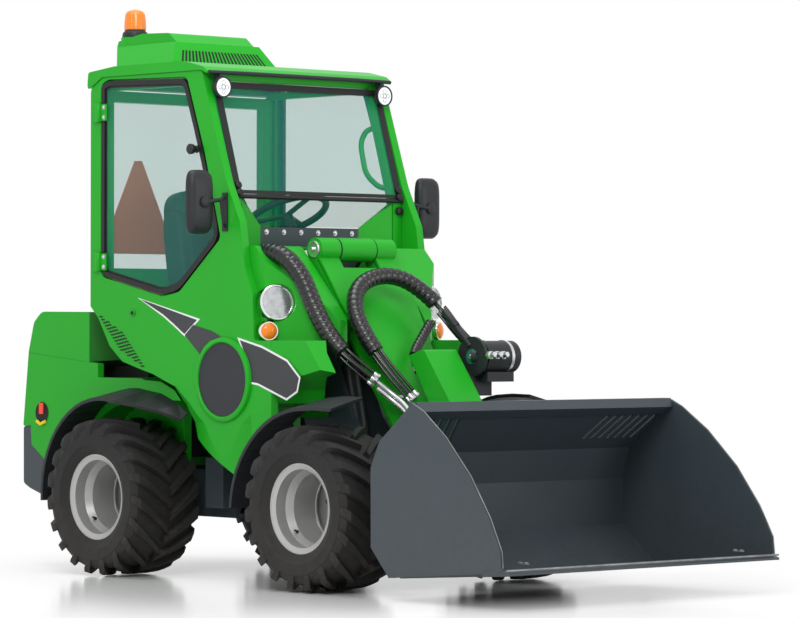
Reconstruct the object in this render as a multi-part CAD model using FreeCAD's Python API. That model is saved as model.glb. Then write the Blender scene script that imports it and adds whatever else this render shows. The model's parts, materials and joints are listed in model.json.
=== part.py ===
"""Compact articulated wheel loader with a cab, a telescopic boom and a general purpose bucket.

Row frame: millimetres, +X forward, +Y to the machine's left, +Z up.
The origin is on the ground below the middle of the whole machine.
Most places are measured from the front axle, the rear axle or the articulation pin.
"""
import FreeCAD
import Part
import os
from math import acos, asin, atan2, cos, degrees, hypot, pi, radians, sin, sqrt, tan

V = FreeCAD.Vector
X_AXIS = V(1, 0, 0)
Y_AXIS = V(0, 1, 0)
Z_AXIS = V(0, 0, 1)
ORIGIN = V(0, 0, 0)

# ---------------------------------------------------------------- driving dimensions
wheelbase = 1240.0
rear_overhang = 744.0            # rear axle to the counterweight's back
front_reach = 1205.0             # front axle to the bucket's cutting edge
pivot_setback = 620.0            # front axle to the articulation pin

tyre_radius = 314.0              # over the lugs
tyre_width = 320.0
wheel_centre_y = 485.0
rim_flange_radius = 170.0
rim_seat_radius = 154.0
rim_wall = 6.0
rim_width = 270.0
hub_face_y = 392.0               # where the wheel disc bolts on
hub_spigot_radius = 44.0
running_gap = 0.5

cab_half_width = 480.0
cab_wall = 35.0
cab_rear_offset = -1461.0        # from the front axle
roof_height = 1992.0             # underside of the roof at the rear
windscreen_plate_setback = -672.0

boom_pivot_offset = -405.0       # from the front axle
boom_pivot_height = 1296.0
coupler_pin_offset = 360.0       # from the front axle
coupler_pin_height = 262.0
coupler_pin_radius = 17.0

bucket_back_offset = 445.0
bucket_back_half_width = 647.0
bucket_flare = 0.0734            # how far each side plate opens per unit of length
bucket_plate = 12.0
sheet = 10.0

body_half_width = 430.0
clearance = 0.3

# ---------------------------------------------------------------- derived places
front_axle_x = (rear_overhang + wheelbase - front_reach) / 2
rear_axle_x = front_axle_x - wheelbase
pivot_x = front_axle_x - pivot_setback
axle_z = tyre_radius
boom_pivot = (front_axle_x + boom_pivot_offset, boom_pivot_height)
coupler_pin = (front_axle_x + coupler_pin_offset, coupler_pin_height)
boom_run = coupler_pin[0] - boom_pivot[0]
boom_drop = boom_pivot[1] - coupler_pin[1]
boom_length = hypot(boom_run, boom_drop)
boom_angle = degrees(atan2(-boom_drop, boom_run))

NODES = {}


# ---------------------------------------------------------------- helpers
def fx(offset):
    """Row x of a place measured forward from the front axle."""
    return front_axle_x + offset


def rx(offset):
    """Row x of a place measured forward from the rear axle."""
    return rear_axle_x + offset


def outline(points, place):
    """Closed wire through (a, b) or (a, b, radius) corners; a radius rounds its corner."""
    corners = [(p[0], p[1], p[2] if len(p) > 2 else 0.0) for p in points]
    count = len(corners)
    starts = []
    arcs = []
    for i, (a, b, radius) in enumerate(corners):
        before = corners[i - 1]
        after = corners[(i + 1) % count]
        if radius <= 0:
            starts.append(((a, b), (a, b)))
            arcs.append(None)
            continue
        ux, uy = before[0] - a, before[1] - b
        wx, wy = after[0] - a, after[1] - b
        ul, wl = hypot(ux, uy), hypot(wx, wy)
        ux, uy, wx, wy = ux / ul, uy / ul, wx / wl, wy / wl
        half = acos(max(-1.0, min(1.0, ux * wx + uy * wy))) / 2
        cut = min(radius / tan(half), 0.49 * ul, 0.49 * wl)
        size = cut * tan(half)
        bx, by = ux + wx, uy + wy
        bl = hypot(bx, by)
        reach = size / sin(half) - size
        middle = (a + bx / bl * reach, b + by / bl * reach)
        starts.append(((a + ux * cut, b + uy * cut), (a + wx * cut, b + wy * cut)))
        arcs.append(middle)
    edges = []
    for i in range(count):
        enter, leave = starts[i]
        if arcs[i] is not None:
            edges.append(Part.Arc(place(*enter), place(*arcs[i]), place(*leave)).toShape())
        following = starts[(i + 1) % count][0]
        if hypot(following[0] - leave[0], following[1] - leave[1]) > 1e-6:
            edges.append(Part.LineSegment(place(*leave), place(*following)).toShape())
    return Part.Wire(edges)


def prism(points, axis, low, high):
    """Outline extruded along one row axis: xz points for y, xy points for z, yz points for x."""
    places = {"y": lambda a, b: V(a, low, b), "z": lambda a, b: V(a, b, low), "x": lambda a, b: V(low, a, b)}
    ways = {"y": V(0, high - low, 0), "z": V(0, 0, high - low), "x": V(high - low, 0, 0)}
    return Part.Face(outline(points, places[axis])).extrude(ways[axis])


def box(x0, x1, y0, y1, z0, z1):
    return Part.makeBox(x1 - x0, y1 - y0, z1 - z0, V(x0, y0, z0))


def rod(start, end, radius):
    """Round bar between two points."""
    run = V(*end) - V(*start)
    return Part.makeCylinder(radius, run.Length, V(*start), run)


def tube(start, end, outer, inner):
    return rod(start, end, outer).cut(rod(start, end, inner))


def mirrored(shape):
    return shape.mirror(ORIGIN, Y_AXIS)


def pair(shape):
    """The same piece on both sides of the machine, as two solids."""
    return Part.makeCompound(shape.Solids + mirrored(shape).Solids)


def fuse(first, *others):
    result = first.multiFuse(list(others)) if others else first
    return result.removeSplitter()


def plate(points, thickness):
    """Flat plate on a polygon of 3-D corners, thickened along the polygon's own normal."""
    corners = [V(*p) for p in points]
    face = Part.Face(Part.makePolygon(corners + [corners[0]]))
    return face.extrude(face.normalAt(0, 0) * thickness)


def turned(profile, count, centre_y):
    """Ring with flat facets about a wheel's axle: profile points are (y, radius)."""
    wires = []
    for step in range(count):
        angle = 2 * pi * step / count
        wires.append([V(radius * sin(angle), centre_y + y, -radius * cos(angle)) for y, radius in profile])
    faces = []
    size = len(profile)
    for step in range(count):
        here = wires[step]
        there = wires[(step + 1) % count]
        for i in range(size):
            j = (i + 1) % size
            faces.append(Part.Face(Part.makePolygon([here[i], here[j], there[j], there[i], here[i]])))
    return Part.Solid(Part.Shell(faces))


def on_boom(along, side, up):
    """Row point from the boom's own frame: along it, sideways, and up from its centre line."""
    a = radians(boom_angle)
    return (boom_pivot[0] + along * cos(a) - up * sin(a), side, boom_pivot[1] + along * sin(a) + up * cos(a))


def boom_box(along0, along1, side0, side1, up0, up1):
    """Square block laid along the boom."""
    block = box(along0, along1, side0, side1, up0, up1)
    return to_boom(block)


def to_boom(shape):
    """Moves a shape built with +X along the boom and +Z up from it to its place."""
    placed = shape.copy()
    placed.rotate(ORIGIN, Y_AXIS, -boom_angle)
    placed.translate(V(boom_pivot[0], 0, boom_pivot[1]))
    return placed


def save(name, shape):
    NODES[name] = shape


# ---------------------------------------------------------------- the space the rear frame swings in
# Height of the front half's underside against the distance from the articulation pin.
swing_profile = (
    (0.0, 640.0), (470.0, 640.0), (523.0, 696.0), (560.0, 756.0), (646.0, 804.0), (793.0, 853.0),
    (860.0, 914.0), (924.0, 1028.0), (975.0, 1082.0), (1250.0, 1110.0),
)
skirt_profile = (
    (476.0, 444.0), (484.0, 540.0), (493.0, 618.0), (523.0, 696.0), (560.0, 756.0), (646.0, 804.0),
    (793.0, 853.0), (860.0, 914.0), (924.0, 1028.0), (975.0, 1082.0), (1250.0, 1110.0),
)


def swept(profile, floor, lift):
    """Solid of revolution below a profile about the articulation axis, moved up by lift."""
    first, last = profile[0][0], profile[-1][0]
    points = [V(first, 0, floor)] + [V(r, 0, z + lift) for r, z in profile] + [V(last, 0, floor)]
    face = Part.Face(Part.makePolygon(points + [points[0]]))
    solid = face.revolve(ORIGIN, Z_AXIS, 360)
    solid.translate(V(pivot_x, 0, 0))
    return solid


def above_swing(lift):
    """What lies over the swing space, for trimming the rear half."""
    first, last = swing_profile[0][0], swing_profile[-1][0]
    ceiling = 1700.0
    points = [V(first, 0, ceiling)] + [V(r, 0, z + lift) for r, z in swing_profile] + [V(last, 0, ceiling)]
    face = Part.Face(Part.makePolygon(points + [points[0]]))
    solid = face.revolve(ORIGIN, Z_AXIS, 360)
    solid.translate(V(pivot_x, 0, 0))
    return solid


# ---------------------------------------------------------------- wheels
tyre_facets = 36


def make_tyre(centre_x, side):
    half = tyre_width / 2
    seat = (rim_seat_radius + clearance) / cos(pi / tyre_facets)
    bead_y = rim_width / 2 - 13
    heel = rim_flange_radius + 6
    shoulder = tyre_radius - 12
    profile = (
        (-half + 40, tyre_radius), (half - 40, tyre_radius), (half, shoulder - 18), (half, seat + 70),
        (bead_y, heel), (bead_y, seat), (bead_y - 22, seat), (half - 34, seat + 60), (half - 40, tyre_radius - 50),
        (-half + 40, tyre_radius - 50), (-half + 34, seat + 60), (-bead_y + 22, seat), (-bead_y, seat), (-bead_y, heel),
        (-half, seat + 70), (-half, shoulder - 18),
    )
    ring = turned(profile, tyre_facets, side * wheel_centre_y)
    ring.translate(V(centre_x, 0, axle_z))
    return ring


def make_rim(centre_x, side):
    """Deep dished rim: a barrel open to the outside with its disc near the inner edge."""
    outer = wheel_centre_y + rim_width / 2
    inner = wheel_centre_y - rim_width / 2
    flange = rim_flange_radius
    seat = rim_seat_radius
    well = seat - 16
    points = [
        (flange, outer), (flange, outer - 5), (seat, outer - 12), (seat, outer - 60), (well, outer - 90),
        (well, inner + 90), (seat, inner + 60), (seat, inner + 12), (flange, inner + 5), (flange, inner),
        (flange - rim_wall, inner), (seat - rim_wall, inner + 9), (seat - rim_wall, inner + 56),
        (well - rim_wall, inner + 84), (well - rim_wall, outer - 84), (seat - rim_wall, outer - 56),
        (seat - rim_wall, outer - 9), (flange - rim_wall, outer),
    ]
    corners = [V(radius, y, 0) for radius, y in points]
    barrel = Part.Face(Part.makePolygon(corners + [corners[0]])).revolve(ORIGIN, Y_AXIS, 360)
    disc_back = hub_face_y + clearance
    disc = tube((0, disc_back, 0), (0, disc_back + 10, 0), seat - rim_wall + 1, hub_spigot_radius + running_gap)
    solid = fuse(barrel, disc)
    if side < 0:
        solid = mirrored(solid)
    solid.translate(V(centre_x, 0, axle_z))
    return solid


axle_half = 240.0
axle_depth = 60.0


def make_axle(centre_x):
    """Cross beam with a wheel motor at each end."""
    beam = box(centre_x - axle_depth, centre_x + axle_depth, -axle_half, axle_half, axle_z - 50, axle_z + 50)
    parts = []
    for side in (-1, 1):
        parts.append(rod((centre_x, side * (axle_half - 40), axle_z), (centre_x, side * hub_face_y, axle_z), 92))
        parts.append(rod((centre_x, side * hub_face_y, axle_z),
                         (centre_x, side * (hub_face_y + 34), axle_z), hub_spigot_radius))
    return fuse(beam, *parts)


def axle_seat(centre_x):
    """Room that the axle beam and its motors take in a chassis."""
    room = box(centre_x - axle_depth - clearance, centre_x + axle_depth + clearance, -300, 300,
               axle_z - 50 - clearance, axle_z + 50 + clearance)
    for side in (-1, 1):
        room = room.fuse(rod((centre_x, side * (axle_half - 40 - clearance), axle_z), (centre_x, side * 420, axle_z),
                             92 + clearance))
    return room


# ---------------------------------------------------------------- rear frame
arch_radius = tyre_radius + 60
arch_inner_y = 308.0
hood_split_rear = 888.0
hood_split_front = 842.0
hood_front_radius = 1008.0
hood_gap = 0.4


def side_outline_rear():
    """Side view of the rear body and hood together."""
    return [
        (rx(-704), 560.0), (rx(-704), 470.0), (rx(-560), 420.0, 30.0), (rx(320), 420.0), (rx(460), 560.0),
        (rx(460), 640.0), (rx(300), 768.0, 40.0), (rx(60), 780.0), (rx(-235), 1040.0, 60.0), (rx(-300), 1052.0, 80.0),
        (rx(-615), 1054.0, 60.0), (rx(-668), 1010.0, 40.0), (rx(-704), 888.0), (rx(-740), 584.0),
    ]


def hood_front_zone():
    """Everything farther from the pin than the hood's curved front face, behind it."""
    ring = Part.makeCylinder(hood_front_radius + 900, 900, V(pivot_x, 0, 400))
    ring = ring.cut(Part.makeCylinder(hood_front_radius, 1000, V(pivot_x, 0, 350)))
    return ring.common(box(-2600, pivot_x, -900, 900, 300, 1400))


def below_split(gap):
    """Wedge under the line where the hood meets the body."""
    a = (rx(-760), hood_split_rear - gap)
    b = (rx(-235), hood_split_front - gap)
    return prism([(a[0], 100.0), (b[0] + 200, 100.0), (b[0] + 200, b[1]), b, a], "y", -800, 800)


def wheel_arches():
    cuts = []
    for side in (-1, 1):
        low, high = sorted((side * arch_inner_y, side * 800))
        cuts.append(Part.makeCylinder(arch_radius, high - low, V(rear_axle_x, low, axle_z), Y_AXIS))
        cuts.append(box(rear_axle_x - arch_radius, rear_axle_x + 700, low, high, -100, axle_z))
        cuts.append(box(rear_axle_x, rear_axle_x + 700, low, high, 0, 600))
    return cuts


body_wall = 30.0
bay_half_width = 270.0
bay_floor = 455.0
bay_front = -150.0               # from the rear axle
bay_rear = -664.0


def chassis_box_room():
    return box(rx(320) - clearance, rx(430) + 40, -320 - clearance, 320 + clearance, 260, 474 + clearance)


def make_rear_body():
    outer = prism(side_outline_rear(), "y", -body_half_width, body_half_width)
    nose_low = fuse(box(rx(300), rx(700), arch_inner_y - 20, 800, 0, 1200), box(rx(170), rx(700), 245, 800, 0, 700))
    outer = outer.cut(nose_low).cut(mirrored(nose_low))
    keep = fuse(below_split(0.0), box(rx(-235), rx(700), -800, 800, 0, 790))
    keep = keep.cut(box(rx(-235), rx(700), -800, 800, 786, 1200))
    body = outer.common(keep)
    for cut in wheel_arches():
        body = body.cut(cut)
    bay = box(rx(bay_rear), rx(bay_front), -bay_half_width, bay_half_width, bay_floor, 1200)
    wide_bay = box(rx(bay_rear), rx(bay_front), -body_half_width + body_wall, body_half_width - body_wall,
                   axle_z + arch_radius + 25, 1200)
    body = body.cut(bay).cut(wide_bay)
    tunnel = box(rx(bay_front) - 1, rx(470), -bay_half_width, bay_half_width, 400, 700)
    body = body.cut(tunnel)
    body = body.cut(above_swing(-15.0))
    body = body.cut(counterweight_block(body_half_width + 5)).cut(chassis_box_room())
    return max(body.Solids, key=lambda piece: piece.Volume)


hood_hinge = (rx(-716), 886.0)


def make_hood():
    outer = prism(side_outline_rear()[:7] + [(rx(260), 1052.0)] + side_outline_rear()[9:], "y",
                  -body_half_width, body_half_width)
    lid = outer.common(hood_front_zone()).cut(below_split(-hood_gap))
    inner = prism([(rx(-670), 800.0), (rx(260), 760.0), (rx(260), 1052.0 - body_wall),
                   (rx(-610), 1052.0 - body_wall, 30.0), (rx(-644), 1000.0, 20.0)], "y",
                  -body_half_width + body_wall, body_half_width - body_wall)
    inner_front = Part.makeCylinder(hood_front_radius + body_wall, 1000, V(pivot_x, 0, 350))
    inner = inner.cut(inner_front)
    lid = lid.cut(inner)
    for side in (-1, 1):
        lid = lid.fuse(rod((hood_hinge[0], side * 240, hood_hinge[1]), (hood_hinge[0], side * 310, hood_hinge[1]), 9))
    return lid


def counterweight_block(half):
    points = [
        (rx(-743), 575.0, 10.0), (rx(-689), 582.0), (rx(-683), 502.0), (rx(-584), 436.0), (rx(-556), 279.0, 12.0),
        (rx(-697), 321.0, 20.0), (rx(-742), 341.0, 20.0),
    ]
    return prism(points, "y", -half, half)


def make_rear_chassis():
    floor = box(rx(-540), rx(400), -230, 230, 232, 250)
    sides = []
    for side in (-1, 1):
        low, high = sorted((side * 205, side * 230))
        sides.append(box(rx(-540), rx(400), low, high, 250, 420 - clearance))
    cross_front = box(rx(320), rx(430), -320, 320, 274, 474)
    hollow = box(rx(330), rx(420), -310, 310, 284, 464)
    cross = cross_front.cut(hollow)
    tongue = box(rx(405), pivot_x, -62, 62, 306, 424)
    eye = Part.makeCylinder(62, 118, V(pivot_x, 0, 306))
    hole = Part.makeCylinder(25 + running_gap, 400, V(pivot_x, 0, 200))
    hitch = box(rx(-740), rx(-530), -60, 60, 232, 262)
    hitch_hole = Part.makeCylinder(12.5, 100, V(rx(-715), 0, 200))
    frame = fuse(floor, *sides, cross, tongue, eye, hitch)
    return frame.cut(hole).cut(hitch_hole).cut(axle_seat(rear_axle_x))


def make_engine():
    return box(rx(-560), rx(-180), -210, 210, 455 + clearance, 830)


def bent_sheet(inner_edge, outer_edge, axle, thickness):
    """Curved mudguard between two edge lines of (x, y, z), thickened towards the wheel's axle."""
    def lowered(points):
        result = []
        for x, y, z in points:
            run = hypot(x - axle[0], z - axle[1])
            share = thickness / run
            result.append(V(x + (axle[0] - x) * share, y, z + (axle[1] - z) * share))
        return result
    inner_top = [V(*p) for p in inner_edge]
    outer_top = [V(*p) for p in outer_edge]
    inner_low = lowered(inner_edge)
    outer_low = lowered(outer_edge)
    faces = []

    def quad(a, b, c, d):
        for corners in ((a, b, c), (a, c, d)):
            faces.append(Part.Face(Part.makePolygon(list(corners) + [corners[0]])))
    for i in range(len(inner_top) - 1):
        quad(inner_top[i], inner_top[i + 1], outer_top[i + 1], outer_top[i])
        quad(inner_low[i], outer_low[i], outer_low[i + 1], inner_low[i + 1])
        quad(inner_top[i], inner_low[i], inner_low[i + 1], inner_top[i + 1])
        quad(outer_top[i], outer_top[i + 1], outer_low[i + 1], outer_low[i])
    quad(inner_top[0], outer_top[0], outer_low[0], inner_low[0])
    quad(inner_top[-1], inner_low[-1], outer_low[-1], outer_top[-1])
    shell = Part.Shell(faces)
    solid = Part.Solid(shell)
    if solid.Volume < 0:
        solid.reverse()
    return solid


fender_sheet = 14.0
fender_radius = 398.0
fender_outer_y = 598.0


def make_rear_fender():
    """From low behind the wheel, over it, to a tip that closes on the body in front."""
    inner, outer = [], []
    low_angle, top_angle, steps = 184.0, 78.0, 14
    inner_y = -body_half_width - clearance
    for i in range(steps + 1):
        share = i / steps
        angle = radians(low_angle + (top_angle - low_angle) * share)
        rise = 26 * sin(max(0.0, pi * (share - 0.25) / 1.5))
        x = rear_axle_x + fender_radius * cos(angle)
        z = axle_z + (fender_radius + 10) * sin(angle)
        inner.append((x, inner_y, z + rise))
        outer.append((x, -fender_outer_y, z - 12 * share))
    last = inner[-1]
    inner.append((last[0] + 95, inner_y, last[2] - 12))
    outer.append((last[0] + 80, -560.0, outer[-1][2] - 14))
    inner.append((last[0] + 190, inner_y, last[2] - 46))
    outer.append((last[0] + 165, -505.0, outer[-1][2] - 24))
    inner.append((last[0] + 262, inner_y, last[2] - 86))
    outer.append((last[0] + 246, -448.0, outer[-1][2] - 34))
    sheet_piece = bent_sheet(inner, outer, (rear_axle_x, axle_z), fender_sheet)
    return pair(sheet_piece)


front_fender_inner_y = 438.0


def front_fender_edges():
    """Inner and outer edge lines of the right front mudguard."""
    inner, outer = [], []
    low_angle, top_angle, steps = 182.0, 96.0, 12
    inner_y = -front_fender_inner_y
    for i in range(steps + 1):
        share = i / steps
        angle = radians(low_angle + (top_angle - low_angle) * share)
        x = front_axle_x + (fender_radius + 44 * (1 - share)) * cos(angle)
        z = axle_z + (fender_radius + 12) * sin(angle)
        inner.append((x, inner_y, z + 6 * share))
        outer.append((x, -fender_outer_y, z - 30 * share))
    last_in, last_out = inner[-1], outer[-1]
    inner.append((last_in[0] + 90, inner_y, last_in[2] + 6))
    outer.append((last_in[0] + 90, -fender_outer_y, last_out[2] + 4))
    inner.append((fx(147), inner_y, last_in[2] + 4))
    outer.append((fx(150), -fender_outer_y, last_out[2]))
    return inner, outer


def make_front_fender():
    """From low behind the front wheel to a square front end level with the wheel's front."""
    inner, outer = front_fender_edges()
    return pair(bent_sheet(inner, outer, (front_axle_x, axle_z), fender_sheet))


def front_arch():
    """Everything under the front mudguard's inner edge, which the body sits on."""
    inner = front_fender_edges()[0]
    points = [(x, z + clearance) for x, y, z in inner]
    points = [(points[0][0] - clearance, 100.0)] + points + [(points[-1][0], 100.0)]
    room = prism(points, "y", -700, -front_fender_inner_y + clearance)
    return room.fuse(Part.makeCylinder(fender_radius - 14, 400, V(front_axle_x, -700, axle_z), Y_AXIS))


# ---------------------------------------------------------------- front frame
arm_gap = 8.0
mast_half = 90.0
mast_plate = 20.0
hub_radius = 46.0
pivot_pin_radius = 25.0
fork_inner = mast_half + 6
fork_outer = 196.0
fork_eye_radius = 46.0
lift_base = (-300.0, 300.0)      # from the front axle, height


def make_front_chassis():
    belly = box(fx(-500), fx(170), -190, 190, 232, 250)
    parts = []
    for side in (-1, 1):
        low, high = sorted((side * 170, side * 190))
        parts.append(box(fx(-500), fx(170), low, high, 250, 470))
        plate_low, plate_high = sorted((side * (mast_half - mast_plate), side * mast_half))
        mast = prism([
            (fx(-500), 250.0), (fx(-60), 250.0), (fx(-60), 380.0), (fx(-300), 640.0), (fx(-470), 1010.0),
            (fx(-520), 1180.0), (boom_pivot[0] - 30, 1262.0), (boom_pivot[0] - 6, boom_pivot[1] + 40),
            (boom_pivot[0] - 40, boom_pivot[1] + 44), (fx(-640), 1232.0, 40.0), (fx(-690), 900.0), (fx(-560), 560.0),
            (fx(-500), 480.0)], "y", plate_low, plate_high)
        parts.append(mast)
    hub = tube((boom_pivot[0], -mast_half, boom_pivot[1]), (boom_pivot[0], mast_half, boom_pivot[1]),
               hub_radius, pivot_pin_radius)
    back = box(fx(-500), fx(-480), -190, 190, 250, 470)
    lugs = []
    for z0, z1 in ((266, 300), (430, 464)):
        lug = fuse(box(pivot_x, fx(-480), -68, 68, z0, z1), Part.makeCylinder(68, z1 - z0, V(pivot_x, 0, z0)))
        lugs.append(lug)
    pin = Part.makeCylinder(25, 240, V(pivot_x, 0, 250))
    tie = box(fx(-560), fx(-480), -mast_half + 1, mast_half - 1, 560, 576)
    frame = fuse(belly, back, hub, pin, tie, *parts, *lugs)
    frame = frame.cut(rod((boom_pivot[0], -400, boom_pivot[1]), (boom_pivot[0], 400, boom_pivot[1]),
                          pivot_pin_radius + clearance))
    base = (fx(lift_base[0]), lift_base[1])
    frame = fuse(frame, rod((base[0], -mast_half, base[1]), (base[0], mast_half, base[1]), 16))
    return frame.cut(axle_seat(front_axle_x))


def side_panel_points():
    """Side view of the cab and body side of the front half."""
    return [
        (fx(-1461), 1060.0), (fx(-1461), 1956.0, 30.0), (fx(-1380), 2000.0 - clearance, 20.0),
        (fx(post_top - 2), 1999.0 - clearance, 12.0), (fx(post_foot + 3), 1560.0, 160.0), (fx(-518), 1399.0, 60.0),
        (fx(-490), 1220.0, 80.0), (fx(-441), 1120.0, 40.0), (fx(-433), 941.0, 8.0),
        (fx(-330), 941.0, 8.0), (fx(-330), 420.0), (fx(-560), 420.0), (fx(-900), 600.0), (fx(-1461), 900.0),
    ]


post_top = -752.0                # windscreen posts' front edge at the roof, from the front axle
post_foot = -604.0               # and at the bar between the panes
post_depth = 42.0


door_outline = [
    (-1391.0, 1970.0, 40.0), (-1337.0, 1985.0, 60.0), (-849.0, 1973.0, 30.0), (-738.0, 1673.0, 900.0),
    (-639.0, 1343.0, 30.0), (-894.0, 1135.0, 60.0), (-1000.0, 1117.0, 60.0), (-1391.0, 1199.0, 40.0),
]


def door_points(inset):
    """Door opening's outline, moved inwards all round by inset."""
    middle_x, middle_z = -1050.0, 1560.0
    result = []
    for x, z, radius in door_outline:
        dx = inset if x < middle_x else -inset
        dz = inset if z < middle_z else -inset
        result.append((fx(x + dx), z + dz, radius))
    return result


def make_side_shell():
    low, high = -cab_half_width, -cab_half_width + cab_wall
    panel = prism(side_panel_points(), "y", low, high)
    panel = panel.cut(prism(door_points(-4.0), "y", low - 10, high + 10))
    under = swept(skirt_profile, 100.0, 0.0).common(box(fx(-2500), fx(-450), -900, 900, 0, 1300))
    panel = panel.cut(under)
    panel = panel.cut(front_arch()).cut(lamp_sockets())
    return pair(panel)


def make_cab_floor():
    """Floor and wheel tunnel liner under the cab."""
    half = cab_half_width - cab_wall - clearance
    upper = swept(swing_profile, 100.0, 22.0)
    lower = swept(swing_profile, 90.0, 0.0)
    liner = upper.cut(lower)
    room = box(fx(-1420), fx(-430), -half, half, 600, 1140)
    liner = liner.common(room)
    slot = box(fx(-760), fx(-300), -mast_half - 8, mast_half + 8, 500, 1200)
    return liner.cut(slot)


def fascia_plan():
    """Plan view of one upper half of the front cowl with its slanted lamp face."""
    return [(fx(-650), -206.0), (fx(-200), -206.0), (fx(-205), -238.0, 20.0), (fx(-372), -400.0, 40.0),
            (fx(-440), -cab_half_width + 2, 30.0), (fx(-650), -cab_half_width + 2)]


def make_fascia():
    face_slope = 1.32
    front = prism([
        (fx(-660), 1309.0), (fx(-470), 1309.0, 30.0), (fx(-245), 1075.0), (fx(-245) + (1075 - 700) / face_slope, 700.0),
        (fx(-560), 700.0)], "y", -cab_half_width, -200)
    upper = prism(fascia_plan(), "z", 930.0, 1400.0).common(front)
    lower_plan = [(fx(-560), -216.0), (fx(-330), -226.0), (fx(-110), -390.0), (fx(30), -402.0, 20.0),
                  (fx(10), -462.0, 40.0), (fx(-300), -cab_half_width, 120.0), (fx(-560), -cab_half_width)]
    lower = prism(lower_plan, "z", 640.0, 942.0).common(front)
    half_piece = fuse(upper, lower)
    half_piece = half_piece.cut(front_arch())
    hollow = prism([(fx(-700), 1240.0), (fx(-520), 1240.0), (fx(-390), 1060.0), (fx(-390), 760.0),
                    (fx(-700), 700.0)], "y", -cab_half_width + cab_wall + 10, -250)
    panel_room = box(fx(-1461), fx(-330) + clearance, -cab_half_width - 5, -cab_half_width + cab_wall + clearance,
                     400, 1500)
    half_piece = half_piece.cut(hollow).cut(panel_room).cut(lamp_sockets())
    under = swept(swing_profile, 100.0, 0.0)
    half_piece = half_piece.cut(under)
    solids = sorted(half_piece.Solids, key=lambda s: s.Volume)
    main = solids[-1]
    left = mirrored(main)
    start, following = V(*supply_route[0]), V(*supply_route[1])
    seat = start - (following - start).normalize() * clearance
    main = main.cut(pipe([tuple(seat)] + supply_route[1:], supply_radius + hose_channel))
    bridge = box(fx(-640), fx(-558), -207, 207, 1297, 1309)
    return fuse(main, left, bridge)


rear_window_sill = 1230.0
rear_window_top = 1905.0
post_inner_y = cab_half_width - cab_wall - clearance - 45


def make_cab_frame():
    """Posts at the windscreen and the rear, with the rails that tie them, and the grab handle."""
    inner = cab_half_width - cab_wall - clearance
    parts = []
    for side in (-1, 1):
        low, high = sorted((side * inner, side * (inner - 45)))
        parts.append(prism([(fx(post_top - post_depth), 1990.0), (fx(post_top), 1990.0), (fx(post_foot), 1520.0),
                            (fx(post_foot), 1309.5), (fx(post_foot - post_depth), 1309.5),
                            (fx(post_foot - post_depth), 1510.0)], "y", low, high))
        parts.append(box(fx(-1461), fx(-1410), low, high, 1090, 1950))
    parts.append(box(fx(-1461), fx(-1425), -inner, inner, 1090, rear_window_sill))
    parts.append(box(fx(-1461), fx(-1410), -inner, inner, rear_window_top, 1950))
    parts.append(box(fx(post_top - post_depth), fx(post_top), -inner, inner, 1962, 1990))
    grip = post_foot - post_depth
    handle = pipe([(fx(grip + 14), inner - 24, 1560.0), (fx(grip - 43), inner - 40, 1556.0),
                   (fx(grip - 73), inner - 92, 1610.0), (fx(grip - 107), inner - 92, 1740.0),
                   (fx(grip - 123), inner - 44, 1796.0), (fx(grip - 70), inner - 24, 1806.0)], 11)
    for side in (-1, 1):
        low, high = sorted((side * inner, side * (inner - 28)))
        parts.append(box(fx(-1415), fx(post_top - 10), low, high, 1946, 1974))
    parts.append(handle)
    return fuse(*parts)


def pipe(points, radius, bend=0.45):
    """Round bar or hose along straight runs joined by tangent arcs."""
    corners = [V(*p) for p in points]
    edges = []
    start = corners[0]
    radii = []
    for i in range(1, len(corners) - 1):
        before, here, after = corners[i - 1], corners[i], corners[i + 1]
        u = (before - here)
        w = (after - here)
        cut = bend * min(u.Length, w.Length)
        u.normalize()
        w.normalize()
        half = acos(max(-1.0, min(1.0, u.dot(w)))) / 2
        size = cut * tan(half)
        axis = (u + w)
        axis.normalize()
        middle = here + axis * (size / sin(half) - size)
        enter, leave = here + u * cut, here + w * cut
        edges.append(Part.LineSegment(start, enter).toShape())
        edges.append(Part.Arc(enter, middle, leave).toShape())
        radii.append(size)
        start = leave
    edges.append(Part.LineSegment(start, corners[-1]).toShape())
    path = Part.Wire(edges)
    run = corners[1] - corners[0]
    ring = Part.Wire([Part.Circle(corners[0], run, radius).toShape()])
    solid = path.makePipeShell([ring], True, False)
    expected = pi * radius * radius * path.Length
    print("pipe radii", [round(r) for r in radii], "volume share", round(solid.Volume / expected, 3))
    return solid


# ---------------------------------------------------------------- cab top and glass
def make_roof():
    """Shallow cap over the cab with a visor reaching past the windscreen."""
    points = [
        (fx(-1472), 1958.0), (fx(-1476), 1972.0), (fx(-1471), 2023.0, 14.0), (fx(-1300), 2040.0, 200.0),
        (fx(-860), 2040.0, 300.0), (fx(-742), 2014.0, 20.0), (fx(-712), 1994.0, 6.0), (fx(-716), 1985.0),
        (fx(post_top), 1999.0), (fx(-1380), 2000.0, 20.0), (fx(-1455), 1962.0),
    ]
    half = cab_half_width + 6
    cap = prism(points, "y", -half, half)
    return cap


beacon_place = (fx(-1590), -150.0)
beacon_pad_top = 2188.0


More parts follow.
